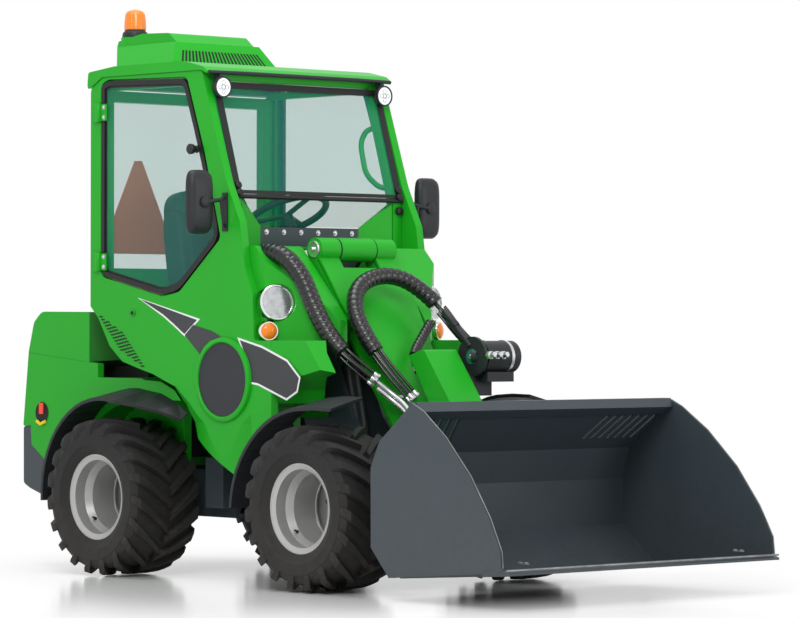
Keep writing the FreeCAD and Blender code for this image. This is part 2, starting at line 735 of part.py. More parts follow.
def make_roof_housing():
    """Air conditioning housing on the roof, reaching back over the cab's rear."""
    low = [V(fx(-1560), -270, 2040.3), V(fx(-1177), -290, 2040.3), V(fx(-1177), 290, 2040.3),
           V(fx(-1560), 270, 2040.3)]
    high = [V(fx(-1640), -205, 2150), V(fx(-1240), -225, 2150), V(fx(-1240), 225, 2150), V(fx(-1640), 205, 2150)]
    body = Part.makeLoft([Part.makePolygon(low + [low[0]]), Part.makePolygon(high + [high[0]])], True, True)
    top = prism([(fx(-1640), 2150.0), (fx(-1630), 2172.0, 10.0), (fx(-1475), 2196.0, 60.0), (fx(-1300), 2190.0, 30.0),
                 (fx(-1250), 2150.0)], "y", -205, 205)
    pad = Part.makeCylinder(58, beacon_pad_top - 2150, V(beacon_place[0], beacon_place[1], 2150))
    return fuse(body, top, pad)


glass = 6.0


def make_windscreen():
    """Upper pane between the posts and lower pane sloping back to the bolted plate."""
    half = post_inner_y - clearance
    foot, top = post_foot + 3.5, post_top + 11
    spread = half + 41
    upper = prism([(fx(foot), 1512.0), (fx(top), 1958.0), (fx(top + glass), 1958.0), (fx(foot + glass), 1512.0)],
                  "y", -spread, spread)
    lower = plate([(fx(post_foot - 2), -half + 1, 1492.0), (fx(post_foot - 2), half - 1, 1492.0),
                   (fx(-664), 275, 1392.0), (fx(-664), -275, 1392.0)], glass)
    for side_panel in pair(make_cowl_sides()).Solids:
        lower = lower.cut(side_panel)
    lower = max(lower.Solids, key=lambda piece: piece.Volume)
    return Part.makeCompound([upper, lower])


def make_windscreen_plate():
    """Dark bolted plate under the lower pane, with the bar between the panes."""
    bottom = box(fx(-672), fx(-660), -258, 258, 1311, 1388)
    return bottom


def make_cowl_sides():
    """Upright panels that run aslant from the bolted plate out to the posts."""
    start = (fx(-664), -262.0)
    end = (fx(post_foot - 12), -post_inner_y + clearance)

    def place(share, z):
        return (start[0] + (end[0] - start[0]) * share, start[1] + (end[1] - start[1]) * share, z)
    return plate([place(0, 1309.5), place(0, 1390.0), place(0.9, 1492.0), place(1, 1492.0), place(1, 1309.5)], 8)


def make_cab_windows():
    """Fixed left window, and the rear window."""
    left = prism(door_points(-3.6), "y", cab_half_width - 22, cab_half_width - 16)
    inner = post_inner_y - clearance
    rear = box(fx(-1446), fx(-1440), -inner, inner, rear_window_sill + clearance, rear_window_top - clearance)
    return Part.makeCompound([left, rear])


door_hinge_x = fx(-1396)
door_hinge_y = -cab_half_width - 12


def door_lock_bar(gap):
    return box(fx(-790) - gap, fx(-752) + gap, -cab_half_width + 3 - gap, -cab_half_width + cab_wall - 10 + gap,
               1680 - gap, 1720 + gap)


def make_door_frame():
    low, high = -cab_half_width + 3, -cab_half_width + cab_wall - 6
    frame = prism(door_points(2.0), "y", low, high).cut(prism(door_points(34.0), "y", low - 5, high + 5))
    hinges = []
    for z in (1254.0, 1857.0):
        hinges.append(rod((door_hinge_x, door_hinge_y, z - 38), (door_hinge_x, door_hinge_y, z + 38), 11))
        hinges.append(box(door_hinge_x, fx(-1366), door_hinge_y - 4, -cab_half_width - 1, z - 30, z + 30))
        hinges.append(box(fx(-1388), fx(-1366), -cab_half_width - 2, low + 6, z - 30, z + 30))
    knob = rod((fx(-772), low + 4, 1700.0), (fx(-772), -cab_half_width - 40, 1700.0), 20)
    return fuse(frame, door_lock_bar(0.0), knob, *hinges)


def make_door_glass():
    pane = prism(door_points(35.0 + clearance), "y", -cab_half_width + 10, -cab_half_width + 16)
    return pane.cut(door_lock_bar(clearance))


# ---------------------------------------------------------------- lamps, mirrors and cab fittings
headlight_radius = 70.0
indicator_radius = 38.0
headlight_y = cab_half_width - 76
indicator_y = cab_half_width - 40
work_light_y = cab_half_width - 55


def headlight(side, radius, depth, front=18.0):
    face = V(1, side * 0.35, 0.12)
    face.normalize()
    return Part.makeCylinder(radius, depth + front, V(fx(-398), side * headlight_y, 1086.0) - face * depth, face)


def indicator(side, radius, depth, front=26.0):
    face = V(1, side * 0.45, 0)
    face.normalize()
    return Part.makeCylinder(radius, depth + front, V(fx(-400), side * indicator_y, 978.0) - face * depth, face)


def lamp_sockets():
    """Room for the right headlight and indicator in the cowl and side panel."""
    return headlight(-1, headlight_radius + clearance, 30, 70.0).fuse(
        indicator(-1, indicator_radius + clearance, 30, 70.0))


def make_lamps():
    """Two headlights in the cowl and two work lights under the visor."""
    pieces = []
    for side in (-1, 1):
        pieces.append(headlight(side, headlight_radius, 30 - clearance))
        work = V(fx(-684), side * work_light_y, 1932.0)
        lamp = Part.makeCylinder(42, 26, work - V(26, 0, 0), X_AXIS)
        low, high = sorted((side * (work_light_y - 12), side * (work_light_y + 12)))
        stem = prism([(fx(-730), 1961.0), (fx(-700), 1961.0), (fx(-700), 1973.0), (fx(-716), 1973.0),
                      (fx(-716), 1985.0 - clearance), (fx(-730), 1990.4 - clearance)], "y", low, high)
        pieces.append(fuse(lamp, stem))
    return Part.makeCompound(pieces)


def make_indicators():
    return Part.makeCompound([indicator(side, indicator_radius, 30 - clearance) for side in (-1, 1)])


def make_beacon():
    x, y = beacon_place
    foot = beacon_pad_top + clearance
    base = Part.makeCylinder(50, 24, V(x, y, foot))
    dome = Part.makeCone(54, 44, 72, V(x, y, foot + 24))
    top = Part.makeCone(44, 20, 22, V(x, y, foot + 96))
    return fuse(base, dome, top)


def make_mirrors():
    pieces = []
    for side in (-1, 1):
        y0, y1 = sorted((side * 540, side * 660))
        head = prism([(fx(-635), 1352.0, 20.0), (fx(-595), 1358.0, 20.0), (fx(-595), 1596.0, 20.0),
                      (fx(-635), 1602.0, 20.0)], "y", y0, y1)
        arm = rod((fx(-615), side * (cab_half_width + clearance), 1476.0), (fx(-615), side * 560, 1476.0), 11)
        pieces.append(fuse(head, arm))
    return Part.makeCompound(pieces)


def make_seat():
    cushion = box(fx(-1300), fx(-880), -230, 230, 960, 1060)
    backrest = prism([(fx(-1320), 1060.0), (fx(-1220), 1060.0), (fx(-1250), 1560.0, 40.0), (fx(-1330), 1560.0, 40.0)],
                     "y", -215, 215)
    base = box(fx(-1290), fx(-900), -200, 200, 905, 960)
    pedestal = box(fx(-1150), fx(-950), -160, 160, 640, 905)
    pedestal = pedestal.cut(swept(swing_profile, 100.0, 22.0 + clearance))
    return fuse(cushion, backrest, base, pedestal)


def make_steering_wheel():
    centre = V(fx(-800), 0, 1440.0)
    tilt = V(-0.45, 0, 0.9)
    tilt.normalize()
    ring = Part.makeTorus(165, 14, centre, tilt)
    column = Part.makeCylinder(24, 640, centre - tilt * 640, tilt)
    spokes = []
    for angle in (0, 120, 240):
        spoke = Part.makeBox(160, 24, 10, V(0, -12, -5))
        spoke.rotate(ORIGIN, Z_AXIS, angle)
        spoke.rotate(ORIGIN, Y_AXIS, -degrees(atan2(0.45, 0.9)))
        spoke.translate(centre)
        spokes.append(spoke)
    bracket = box(fx(-760), fx(-672) - clearance, -22, 22, 1340, 1370)
    return fuse(ring, column, bracket, *spokes)


def make_side_discs():
    start = cab_half_width + clearance
    return pair(rod((fx(-612), -start, 788.0), (fx(-612), -start - 10, 788.0), 143))


def make_warning_triangle():
    top = 1672.0
    points = [(-232, 1290), (-232 - 195, 1290), (-250, top), (-214, top), (-37, 1290)]
    return prism(points, "x", fx(-1461) - clearance - 6, fx(-1461) - clearance)


# ---------------------------------------------------------------- boom
beam_half = 84.0
beam_wall = 12.0
beam_top = 6.0
beam_bottom = -150.0
inner_gap = 4.0
inner_half = beam_half - beam_wall - inner_gap
outer_length = 800.0
telescope_stroke = 600.0
lift_eye = (210.0, -230.0)       # along the boom, up from it
tilt_base = (628.0, 107.0)
tilt_eye_offset = (14.0, 184.0)  # forward and up from the coupler pin


def make_boom_outer():
    beam = box(170, outer_length, -beam_half, beam_half, beam_bottom, beam_top)
    beam = beam.cut(box(160, outer_length + 5, -beam_half + beam_wall, beam_half - beam_wall,
                        beam_bottom + beam_wall, beam_top - beam_wall))
    wing = prism([(30, -fork_outer), (260, -fork_outer), (outer_length - 20, -116), (outer_length - 20, 116),
                  (260, fork_outer), (30, fork_outer)], "z", beam_top - beam_wall, beam_top)
    hub_room = box(-60, 92, -fork_inner, fork_inner, -80, 80)
    wing = wing.cut(hub_room)
    arms = []
    for side in (-1, 1):
        low, high = sorted((side * fork_inner, side * fork_outer))
        arms.append(prism([(0, -fork_eye_radius), (60, -64.0), (330, -110.0), (330, beam_top - 20),
                           (0, beam_top - 20)], "y", low, high))
        arms.append(rod((0, low, 0), (0, high, 0), fork_eye_radius))
        web_low, web_high = sorted((side * beam_half, side * 116))
        arms.append(box(300, outer_length - 20, web_low, web_high, -110, beam_top - 20))
        ear_low, ear_high = sorted((side * 34, side * 52))
        arms.append(prism([(lift_eye[0] - 36, beam_bottom + 1), (lift_eye[0] + 90, beam_bottom + 1),
                           (lift_eye[0] + 24, lift_eye[1] - 24, 20.0), (lift_eye[0] - 24, lift_eye[1] - 24, 20.0)],
                          "y", ear_low, ear_high))
    pins = rod((0, fork_outer, 0), (0, -fork_outer, 0), pivot_pin_radius)
    boom = fuse(beam, wing, pins, *arms)
    for side in (-1, 1):
        boom = boom.fuse(rod((lift_eye[0], side * 36, lift_eye[1]), (lift_eye[0], side * 60, lift_eye[1]), 14))
    return to_boom(boom)


def make_boom_inner():
    bottom = beam_bottom + beam_wall + inner_gap
    top = beam_top - beam_wall - inner_gap
    tube_end = boom_length - 46
    bar = box(200, tube_end, -inner_half, inner_half, bottom, top)
    bar = bar.cut(box(190, tube_end - 60, -inner_half + 10, inner_half - 10, bottom + 10, top - 10))
    head = prism([(583, 96), (610, 178, 20.0), (1010, 178, 30.0), (1036, 92.0), (1160, 70.0), (tube_end, 30.0),
                  (tube_end, top), (outer_length + 10, top), (outer_length + 10, 80.0)], "y", -85, 85)
    head_room = prism([(560, 104.0), (600, 170.0), (998, 170.0), (1026, 82.0), (1150, 60.0), (1150, -4.0),
                       (outer_length + 60, -4.0), (outer_length + 60, 104.0)], "y", -73, 73)
    open_end = box(1000, 1300, -50, 50, 14, 220)
    eyes = []
    for side in (-1, 1):
        low, high = sorted((side * 40, side * 85))
        eyes.append(prism([(tube_end - 80, top), (tube_end - 80, bottom), (boom_length + 10, -36.0, 30.0),
                           (boom_length + 38, 0.0, 30.0), (boom_length + 4, 36.0, 30.0)], "y", low, high))
    barrel_slot = box(570, outer_length + 61, -34, 34, 60, 120)
    arm = fuse(bar, head.cut(head_room).cut(open_end).cut(barrel_slot), *eyes)
    arm = arm.cut(rod((boom_length, -100, 0), (boom_length, 100, 0), coupler_pin_radius + clearance))
    pin = rod((tilt_base[0], -84, tilt_base[1]), (tilt_base[0], 84, tilt_base[1]), 12)
    return to_boom(fuse(arm, pin))


def make_multi_connector():
    """Quick connector block for the attachment's hoses, on a bracket beside the boom."""
    x, y, z = fx(170), 200.0, 880.0
    block = rod((x, y - 60, z), (x, y + 110, z), 62)
    cam = rod((x - 20, y - 78, z), (x - 20, y - 64, z), 78)
    lever = rod((x - 30, y - 71, z + 40), (fx(8), y - 71, 1039.0), 13)
    bridge = rod((x - 20, y - 66, z), (x, y - 58, z), 30)
    stand = box(x - 50, x + 40, y - 50, y + 90, z - 96, z - 58)
    foot = on_boom(930, 0, 0)
    bracket = box(x - 40, x - 10, 85 + clearance, y + 20, z - 150, z - 60)
    return fuse(block, cam, bridge, lever, stand, bracket)


def make_boom_pipes():
    """Steel hydraulic pipes from the supply hose along the near side of the boom, with their clamp."""
    pieces = []
    for drop in (0.0, pipe_spacing):
        pieces.append(pipe([(x, y, z - drop) for x, y, z in pipe_route], 9))
    grip = (424.0, -157.0, 727.0)
    pieces.append(rod(grip, (grip[0], grip[1], grip[2] - pipe_spacing), 7))
    pieces.append(rod(grip, (414.4, -126.3, 725.9), 8))
    return fuse(*pieces)


# ---------------------------------------------------------------- cylinders
def cylinder_frame(base, eye):
    run = V(eye[0] - base[0], 0, eye[1] - base[1])
    length = run.Length
    run.normalize()
    return run, length


def make_barrel(base, eye, dead, outer, inner, half, pin_radius):
    run, length = cylinder_frame(base, eye)
    foot = V(base[0], 0, base[1])
    start = outer * 0.5
    shell = Part.makeCylinder(outer, dead - start, foot + run * start, run)
    bore = Part.makeCylinder(inner, dead, foot + run * (outer + 18), run)
    eye_ring = Part.makeCylinder(outer * 0.8, 2 * half, V(base[0], -half, base[1]), Y_AXIS)
    hole = Part.makeCylinder(pin_radius, 4 * half, V(base[0], -2 * half, base[1]), Y_AXIS)
    return fuse(shell, eye_ring).cut(bore).cut(hole)


def make_rod(base, eye, start, radius, half, pin_radius):
    run, length = cylinder_frame(base, eye)
    foot = V(base[0], 0, base[1])
    bar = Part.makeCylinder(radius, length - start, foot + run * start, run)
    eye_ring = Part.makeCylinder(pin_radius + 10, 2 * half, V(eye[0], -half, eye[1]), Y_AXIS)
    return fuse(bar, eye_ring)


# ---------------------------------------------------------------- coupler and bucket
def bucket_half(offset):
    """Half width between the side plates at a place measured from the front axle."""
    return bucket_back_half_width + (offset - bucket_back_offset) * bucket_flare


def make_bucket():
    fold = [(676.0, 693.0), (481.0, 516.0), (447.0, 395.0), (443.0, 218.0), (602.0, 82.0), (1175.0, 121.0)]
    inside = [(fx(x), z + 14) for x, z in fold]
    outside = []
    for i, (x, z) in enumerate(inside):
        before = inside[max(i - 1, 0)]
        after = inside[min(i + 1, len(inside) - 1)]
        tx, tz = after[0] - before[0], after[1] - before[1]
        size = hypot(tx, tz)
        outside.append((x + tz / size * sheet, z - tx / size * sheet))
    wrapper = prism(inside + outside[::-1], "y", -720, 720)
    trim = [(fx(300), -bucket_half(300)), (fx(1300), -bucket_half(1300)), (fx(1300), bucket_half(1300)),
            (fx(300), bucket_half(300))]
    wrapper = wrapper.common(prism(trim, "z", 0, 900))
    side_points = [
        (680.0, 708.0, 12.0), (740.0, 679.0), (866.0, 591.0), (1006.0, 457.0), (1115.0, 313.0), (1178.0, 198.0),
        (1185.0, 128.0), (1030.0, 109.0), (547.0, 71.0), (505.0, 112.0), (440.0, 176.0), (438.0, 466.0),
        (490.0, 566.0), (596.0, 642.0),
    ]
    origin_x = fx(bucket_back_offset)
    flat = prism([(fx(p[0]) - origin_x, p[1] + 14) + p[2:] for p in side_points], "y", 0, bucket_plate)
    flat.rotate(ORIGIN, Z_AXIS, degrees(atan2(bucket_flare, 1)))
    flat.translate(V(origin_x, bucket_back_half_width - 1, 0))
    edge = prism([(fx(1080), 118.0), (fx(1205), 126.0), (fx(1205), 134.0), (fx(1172), 146.0), (fx(1080), 139.0)],
                 "y", -710, 710)
    slots = []
    for side in (-1, 1):
        for i in range(8):
            foot = side * (345 + 43 * i)
            lean = side * 38
            slots.append(prism([(foot, 572.0), (foot + side * 15, 572.0), (foot + side * 15 + lean, 662.0),
                                (foot + lean, 662.0)], "x", fx(430), fx(720)))
    wrapper = wrapper.cut(slots)
    bar_half = bucket_half(660)
    bar = prism([(fx(640), 660.0), (fx(700), 690.0), (fx(690), 724.0), (fx(650), 724.0)], "y", -bar_half, bar_half)
    return fuse(wrapper, flat, mirrored(flat), edge, bar)


def make_coupler():
    """Quick attach frame between the boom's end and the bucket's back."""
    pin_x, pin_z = coupler_pin
    top_x, top_z = pin_x + tilt_eye_offset[0], pin_z + tilt_eye_offset[1]
    back = fx(434) - clearance
    cheeks = []
    for side in (-1, 1):
        low, high = sorted((side * 88, side * 104))
        cheeks.append(prism([(pin_x - 34, pin_z, 30.0), (pin_x, pin_z - 40, 20.0), (back - 2, pin_z - 60),
                             (back - 2, top_z + 60), (top_x - 30, top_z + 30, 20.0)], "y", low, high))
        low, high = sorted((side * 26, side * 38))
        cheeks.append(prism([(pin_x + 44, pin_z + 60, 10.0), (back - 2, pin_z + 60), (back - 2, top_z + 50),
                             (top_x - 28, top_z + 24, 20.0), (top_x - 28, top_z - 20, 20.0)], "y", low, high))
        low, high = sorted((side * 104, side * 260))
        cheeks.append(box(back - 24, back, low, high, pin_z - 50, top_z + 50))
    plate_low = box(back - 12, back, -260, 260, pin_z + 44, top_z + 56)
    plate_low = plate_low.cut(box(back - 13, back + 1, -28, 28, pin_z + 140, top_z + 60))
    pin = rod((pin_x, -106, pin_z), (pin_x, 106, pin_z), coupler_pin_radius)
    for side in (-1, 1):
        cheeks.append(rod((top_x, side * 27, top_z), (top_x, side * 44, top_z), 14))
    return fuse(plate_low, pin, *cheeks)


# ---------------------------------------------------------------- hoses
supply_radius = 27.0
hose_channel = 8.0               # free room round the supply hose in the cowl
loop_radius = 24.0
branch_radius = 20.0
supply_route = [
    (-190.0, -385.0, 1262.0), (-80.0, -391.0, 1288.0), (35.0, -384.0, 1268.0), (100.0, -356.0, 1185.0),
    (140.0, -343.0, 1090.0), (188.0, -335.0, 1005.0), (252.0, -316.0, 920.0), (322.0, -275.0, 845.0),
    (370.0, -215.0, 785.0),
]
pipe_route = [(370.4, -214.5, 784.5), (405.0, -171.2, 741.2), (458.0, -158.0, 706.0), (504.0, -156.0, 662.0)]
pipe_spacing = 24.0
loop_route = [
    (472.0, -112.0, 718.0), (400.0, -165.0, 815.0), (310.0, -208.0, 944.0), (236.0, -213.0, 1050.0),
    (176.0, -150.0, 1146.0), (168.0, -37.0, 1196.0), (194.0, 73.0, 1188.0), (240.0, 150.0, 1131.0),
    (300.0, 200.0, 1052.0), (378.0, 215.0, 962.0), (478.0, 204.0, 908.0),
]
branch_route = [
    (296.0, 130.0, 1008.0), (318.0, 75.0, 962.0), (346.0, 5.0, 905.0), (382.0, -40.0, 862.0),
    (425.0, -55.0, 822.0),
]


def build():
    sides = (("right", -1), ("left", 1))
    for end, centre in (("front", front_axle_x), ("rear", rear_axle_x)):
        for name, side in sides:
            save("tyre_" + end + "_" + name, make_tyre(centre, side))
            save("rim_" + end + "_" + name, make_rim(centre, side))
    save("front_axle", make_axle(front_axle_x))
    save("rear_axle", make_axle(rear_axle_x))
    save("rear_chassis", make_rear_chassis())
    save("rear_body", make_rear_body())
    save("hood", make_hood())
    save("counterweight", counterweight_block(body_half_width - 4))
    save("engine_block", make_engine())
    save("rear_fenders", make_rear_fender())
    save("front_fenders", make_front_fender())
    save("front_chassis", make_front_chassis())
    save("side_shell", make_side_shell())
    save("cab_floor", make_cab_floor())
    save("fascia", make_fascia())
    save("cab_frame", make_cab_frame())
    save("roof", make_roof())
    save("roof_housing", make_roof_housing())
    save("windscreen", make_windscreen())
    save("windscreen_plate", make_windscreen_plate())
    save("cowl_sides", pair(make_cowl_sides()))
    save("cab_windows", make_cab_windows())
    save("door_frame", make_door_frame())
    save("door_glass", make_door_glass())
    save("lamps", make_lamps())
    save("indicators", make_indicators())
    save("beacon", make_beacon())
    save("mirrors", make_mirrors())
    save("seat", make_seat())
    save("steering_wheel", make_steering_wheel())
    save("side_discs", make_side_discs())
    save("warning_triangle", make_warning_triangle())
    save("boom_outer", make_boom_outer())
    save("boom_inner", make_boom_inner())
    save("boom_pipes", make_boom_pipes())
    save("multi_connector", make_multi_connector())
    save("hose_supply", pipe(supply_route, supply_radius))
    save("hose_loop", pipe(loop_route, loop_radius))
    save("hose_branch", pipe(branch_route, branch_radius))
    lift_foot = (fx(lift_base[0]), lift_base[1])
    lift_top = on_boom(lift_eye[0], 0, lift_eye[1])
    lift_top = (lift_top[0], lift_top[2])
    save("lift_barrel", make_barrel(lift_foot, lift_top, 560.0, 42.0, 22.0 + running_gap, 30.0, 16 + clearance))
    save("lift_rod", make_rod(lift_foot, lift_top, 80.0, 22.0, 32.0, 14.0 + clearance))
    tilt_foot = on_boom(tilt_base[0], 0, tilt_base[1])
    tilt_foot = (tilt_foot[0], tilt_foot[2])
    tilt_top = (coupler_pin[0] + tilt_eye_offset[0], coupler_pin[1] + tilt_eye_offset[1])
    save("tilt_barrel", make_barrel(tilt_foot, tilt_top, 416.0, 28.0, 16.0 + running_gap, 22.0, 12 + clearance))
    save("tilt_rod", make_rod(tilt_foot, tilt_top, 118.0, 16.0, 22.0, 14 + clearance))
    save("coupler", make_coupler())
    save("bucket", make_bucket())


os.makedirs("parts", exist_ok=True)
build()
for name, shape in NODES.items():
    shape.exportStep("parts/" + name + ".step")
    if not shape.isValid() or shape.Volume <= 0:
        print("check", name, shape.isValid(), round(shape.Volume))
whole = Part.makeCompound(list(NODES.values())).BoundBox
print(len(NODES), "nodes", [round(v, 1) for v in (whole.XMin, whole.XMax, whole.YMin, whole.YMax, whole.ZMin, whole.ZMax)])
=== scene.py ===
"""Looks of the compact wheel loader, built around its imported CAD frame.

Places and sizes are in millimetres in the frame's axes; Shape.make turns them into metres. Places along the
machine that come from the front axle are written fx(offset).
"""
import json
from math import cos, hypot, pi, radians, sin

import bpy
from mathutils import Matrix, Vector


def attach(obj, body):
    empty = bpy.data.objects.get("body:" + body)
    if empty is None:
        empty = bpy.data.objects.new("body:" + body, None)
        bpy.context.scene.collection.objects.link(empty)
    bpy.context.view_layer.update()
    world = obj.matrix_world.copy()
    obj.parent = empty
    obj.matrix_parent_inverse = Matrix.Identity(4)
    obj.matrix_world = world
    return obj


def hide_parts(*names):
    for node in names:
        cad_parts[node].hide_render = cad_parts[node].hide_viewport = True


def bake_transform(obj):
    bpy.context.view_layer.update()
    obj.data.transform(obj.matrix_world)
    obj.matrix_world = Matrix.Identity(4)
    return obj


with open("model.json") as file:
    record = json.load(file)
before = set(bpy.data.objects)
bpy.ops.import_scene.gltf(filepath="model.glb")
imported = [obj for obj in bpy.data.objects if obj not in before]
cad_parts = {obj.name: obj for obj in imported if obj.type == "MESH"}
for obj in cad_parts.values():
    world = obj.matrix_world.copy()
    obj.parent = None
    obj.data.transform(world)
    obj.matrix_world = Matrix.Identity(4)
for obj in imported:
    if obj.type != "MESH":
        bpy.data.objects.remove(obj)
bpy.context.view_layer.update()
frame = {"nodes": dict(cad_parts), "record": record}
FRONT_AXLE = 389.5
REAR_AXLE = -850.5
AXLE_Z = 314.0
WHEEL_Y = 485.0              # middle of each tyre
SIDE = 480.0                 # outer face of the cab and body sides


def fx(offset):
    """Place along the machine from the front axle."""
    return FRONT_AXLE + offset


BOOM_PIVOT_X, BOOM_PIVOT_Z = fx(-405), 1296.0
BOOM_HUB_RADIUS = 46.0
BOOM_CHEEK_Y = 196.3         # outer face of the boom's cheeks at the pivot
HEADLIGHT = (fx(-398), 404.0, 1086.0)
HEADLIGHT_RADIUS = 70.0
WORK_LIGHT = (fx(-684), 425.0, 1932.0)
INDICATOR = (fx(-400), 440.0, 978.0)
BEACON = (fx(-1590), -150.0, 2188.5)
DISC = (fx(-612), 788.0, 143.0)      # x, z, radius of the round side grille
MIRROR = (fx(-615), 600.0, 1477.0)
HINGE_HEIGHTS = (1254, 1857)
HINGE_LINE = (fx(-1396), -492.0)
KNOB = (fx(-786), 1690.0)
SCREEN_FOOT = (fx(-594.5), 1512.0)   # upper pane's lower edge: x, z
SCREEN_LEAN = 0.315                  # how far the upper pane leans back per millimetre of height
HOUSING_FACE = (fx(-1177), 2040.0, 0.573)    # roof housing's front: x, z and lean of its face
CONNECTOR = (fx(170), 200.0, 880.0)
REAR_SWITCH = (fx(-1851), 636.0)
REAR_SIDE = 430.0


# ---------------------------------------------------------------- materials
def material(name, color, rough=0.5, metal=0.0, coat=0.0, vary=0.05, scale=6.0, rough_vary=0.06,
             bump=0.0, bump_scale=300.0, edge=0.0, alpha=1.0, glow=0.0, dust=0.0, shine=0.3):
    """Principled surface with a little cloudiness, optional fine grain, softened edges and low dust."""
    made = bpy.data.materials.new(name)
    made.use_nodes = True
    nodes, links = made.node_tree.nodes, made.node_tree.links
    shader = nodes["Principled BSDF"]
    shader.inputs["Base Color"].default_value = (*color, 1)
    shader.inputs["Roughness"].default_value = rough
    shader.inputs["Metallic"].default_value = metal
    shader.inputs["Coat Weight"].default_value = coat
    shader.inputs["Coat Roughness"].default_value = 0.25
    shader.inputs["Specular IOR Level"].default_value = shine
    shader.inputs["Alpha"].default_value = alpha
    if glow:
        shader.inputs["Emission Color"].default_value = (*color, 1)
        shader.inputs["Emission Strength"].default_value = glow
    place = nodes.new("ShaderNodeTexCoord")
    cloud = nodes.new("ShaderNodeTexNoise")
    cloud.inputs["Scale"].default_value = scale
    cloud.inputs["Detail"].default_value = 6
    links.new(place.outputs["Object"], cloud.inputs["Vector"])
    tint = nodes.new("ShaderNodeMix")
    tint.data_type = "RGBA"
    tint.inputs[6].default_value = (*[c * (1 - vary) for c in color], 1)
    tint.inputs[7].default_value = (*[min(1, c * (1 + vary)) for c in color], 1)
    links.new(cloud.outputs["Fac"], tint.inputs[0])
    last = tint.outputs[2]
    if dust:
        parts = nodes.new("ShaderNodeSeparateXYZ")
        links.new(place.outputs["Object"], parts.inputs[0])
        ramp = nodes.new("ShaderNodeMapRange")
        ramp.inputs["From Min"].default_value = 0.0
        ramp.inputs["From Max"].default_value = 0.7
        ramp.inputs["To Min"].default_value = dust
        ramp.inputs["To Max"].default_value = 0.0
        links.new(parts.outputs["Z"], ramp.inputs["Value"])
        speckle = nodes.new("ShaderNodeTexNoise")
        speckle.inputs["Scale"].default_value = 38
        links.new(place.outputs["Object"], speckle.inputs["Vector"])
        amount = nodes.new("ShaderNodeMath")
        amount.operation = "MULTIPLY"
        links.new(ramp.outputs[0], amount.inputs[0])
        links.new(speckle.outputs["Fac"], amount.inputs[1])
        soil = nodes.new("ShaderNodeMix")
        soil.data_type = "RGBA"
        soil.inputs[7].default_value = (0.2, 0.17, 0.14, 1)
        links.new(amount.outputs[0], soil.inputs[0])
        links.new(last, soil.inputs[6])
        last = soil.outputs[2]
    links.new(last, shader.inputs["Base Color"])
    spread = nodes.new("ShaderNodeMapRange")
    spread.inputs["To Min"].default_value = max(0.02, rough - rough_vary)
    spread.inputs["To Max"].default_value = rough + rough_vary
    links.new(cloud.outputs["Fac"], spread.inputs["Value"])
    links.new(spread.outputs[0], shader.inputs["Roughness"])
    normal = None
    if edge:
        round_edge = nodes.new("ShaderNodeBevel")
        round_edge.samples = 4
        round_edge.inputs["Radius"].default_value = edge
        normal = round_edge.outputs["Normal"]
    if bump:
        grain = nodes.new("ShaderNodeTexNoise")
        grain.inputs["Scale"].default_value = bump_scale
        links.new(place.outputs["Object"], grain.inputs["Vector"])
        relief = nodes.new("ShaderNodeBump")
        relief.inputs["Strength"].default_value = bump
        relief.inputs["Distance"].default_value = 0.001
        links.new(grain.outputs["Fac"], relief.inputs["Height"])
        if normal:
            links.new(normal, relief.inputs["Normal"])
        normal = relief.outputs["Normal"]
    if normal:
        links.new(normal, shader.inputs["Normal"])
    return made


GREEN = (0.012, 0.36, 0.014)
green = material("green_paint", GREEN, rough=0.38, coat=0.06, vary=0.05, scale=3, edge=0.004, shine=0.2)
grey = material("grey_paint", (0.036, 0.05, 0.06), rough=0.42, coat=0.1, vary=0.1, scale=8, edge=0.003, dust=0.12)
engine = material("engine", (0.05, 0.05, 0.052), rough=0.6, bump=0.4, bump_scale=160)
plastic = material("black_plastic", (0.016, 0.018, 0.021), rough=0.45, bump=0.25, bump_scale=500, edge=0.003)
glass = material("glass", (0.03, 0.3, 0.25), rough=0.03, alpha=0.17, vary=0.02, rough_vary=0.01, shine=0.5)
seal = material("rubber_seal", (0.01, 0.01, 0.011), rough=0.45, bump=0.2, bump_scale=400)
lens = material("lamp_lens", (0.8, 0.83, 0.85), rough=0.03, alpha=0.12, vary=0.02, rough_vary=0.01, shine=0.5)
chrome = material("chrome", (0.82, 0.83, 0.84), rough=0.1, metal=1.0, vary=0.02, rough_vary=0.04)
facets = material("faceted_reflector", (0.55, 0.56, 0.57), rough=0.16, metal=1.0, vary=0.5, scale=45)
amber = material("amber", (0.82, 0.2, 0.01), rough=0.15, coat=0.4, glow=0.1)
vinyl = material("seat_vinyl", (0.014, 0.014, 0.016), rough=0.55, bump=0.5, bump_scale=260)
mesh_black = material("disc_mesh", (0.03, 0.033, 0.038), rough=0.6, bump=0.8, bump_scale=700)
# The red material glows: painted light that lifts the shaded red reflector triangle and the rear switch, neither of
# which is a lamp.
red = material("red", (0.7, 0.05, 0.02), rough=0.35, glow=0.3)
# The orange material glows: painted light that lifts the shaded triangle's centre, which is no lamp.
orange = material("orange", (0.95, 0.2, 0.03), rough=0.4, glow=0.35)
yellow = material("yellow", (0.85, 0.6, 0.02), rough=0.4)
zinc = material("zinc", (0.6, 0.61, 0.62), rough=0.28, metal=0.9, vary=0.1, scale=30)
dark_barrel = material("cylinder_paint", (0.03, 0.033, 0.037), rough=0.35, coat=0.2)
rod_chrome = material("chrome_rod", (0.75, 0.76, 0.77), rough=0.12, metal=1.0, rough_vary=0.03)
rubber = material("tyre", (0.011, 0.011, 0.0115), rough=0.58, vary=0.25, scale=14, bump=0.5, bump_scale=220,
                  dust=0.16, shine=0.25)
silver = material("rim_silver", (0.44, 0.44, 0.43), rough=0.36, metal=0.45, vary=0.06, scale=9, dust=0.06)
hose_black = material("hose_rubber", (0.011, 0.011, 0.012), rough=0.26, vary=0.15, scale=40, shine=0.5)
white = material("white_line", (0.8, 0.81, 0.81), rough=0.4)
decal_grey = material("decal_grey", (0.04, 0.043, 0.048), rough=0.35, vary=0.08)
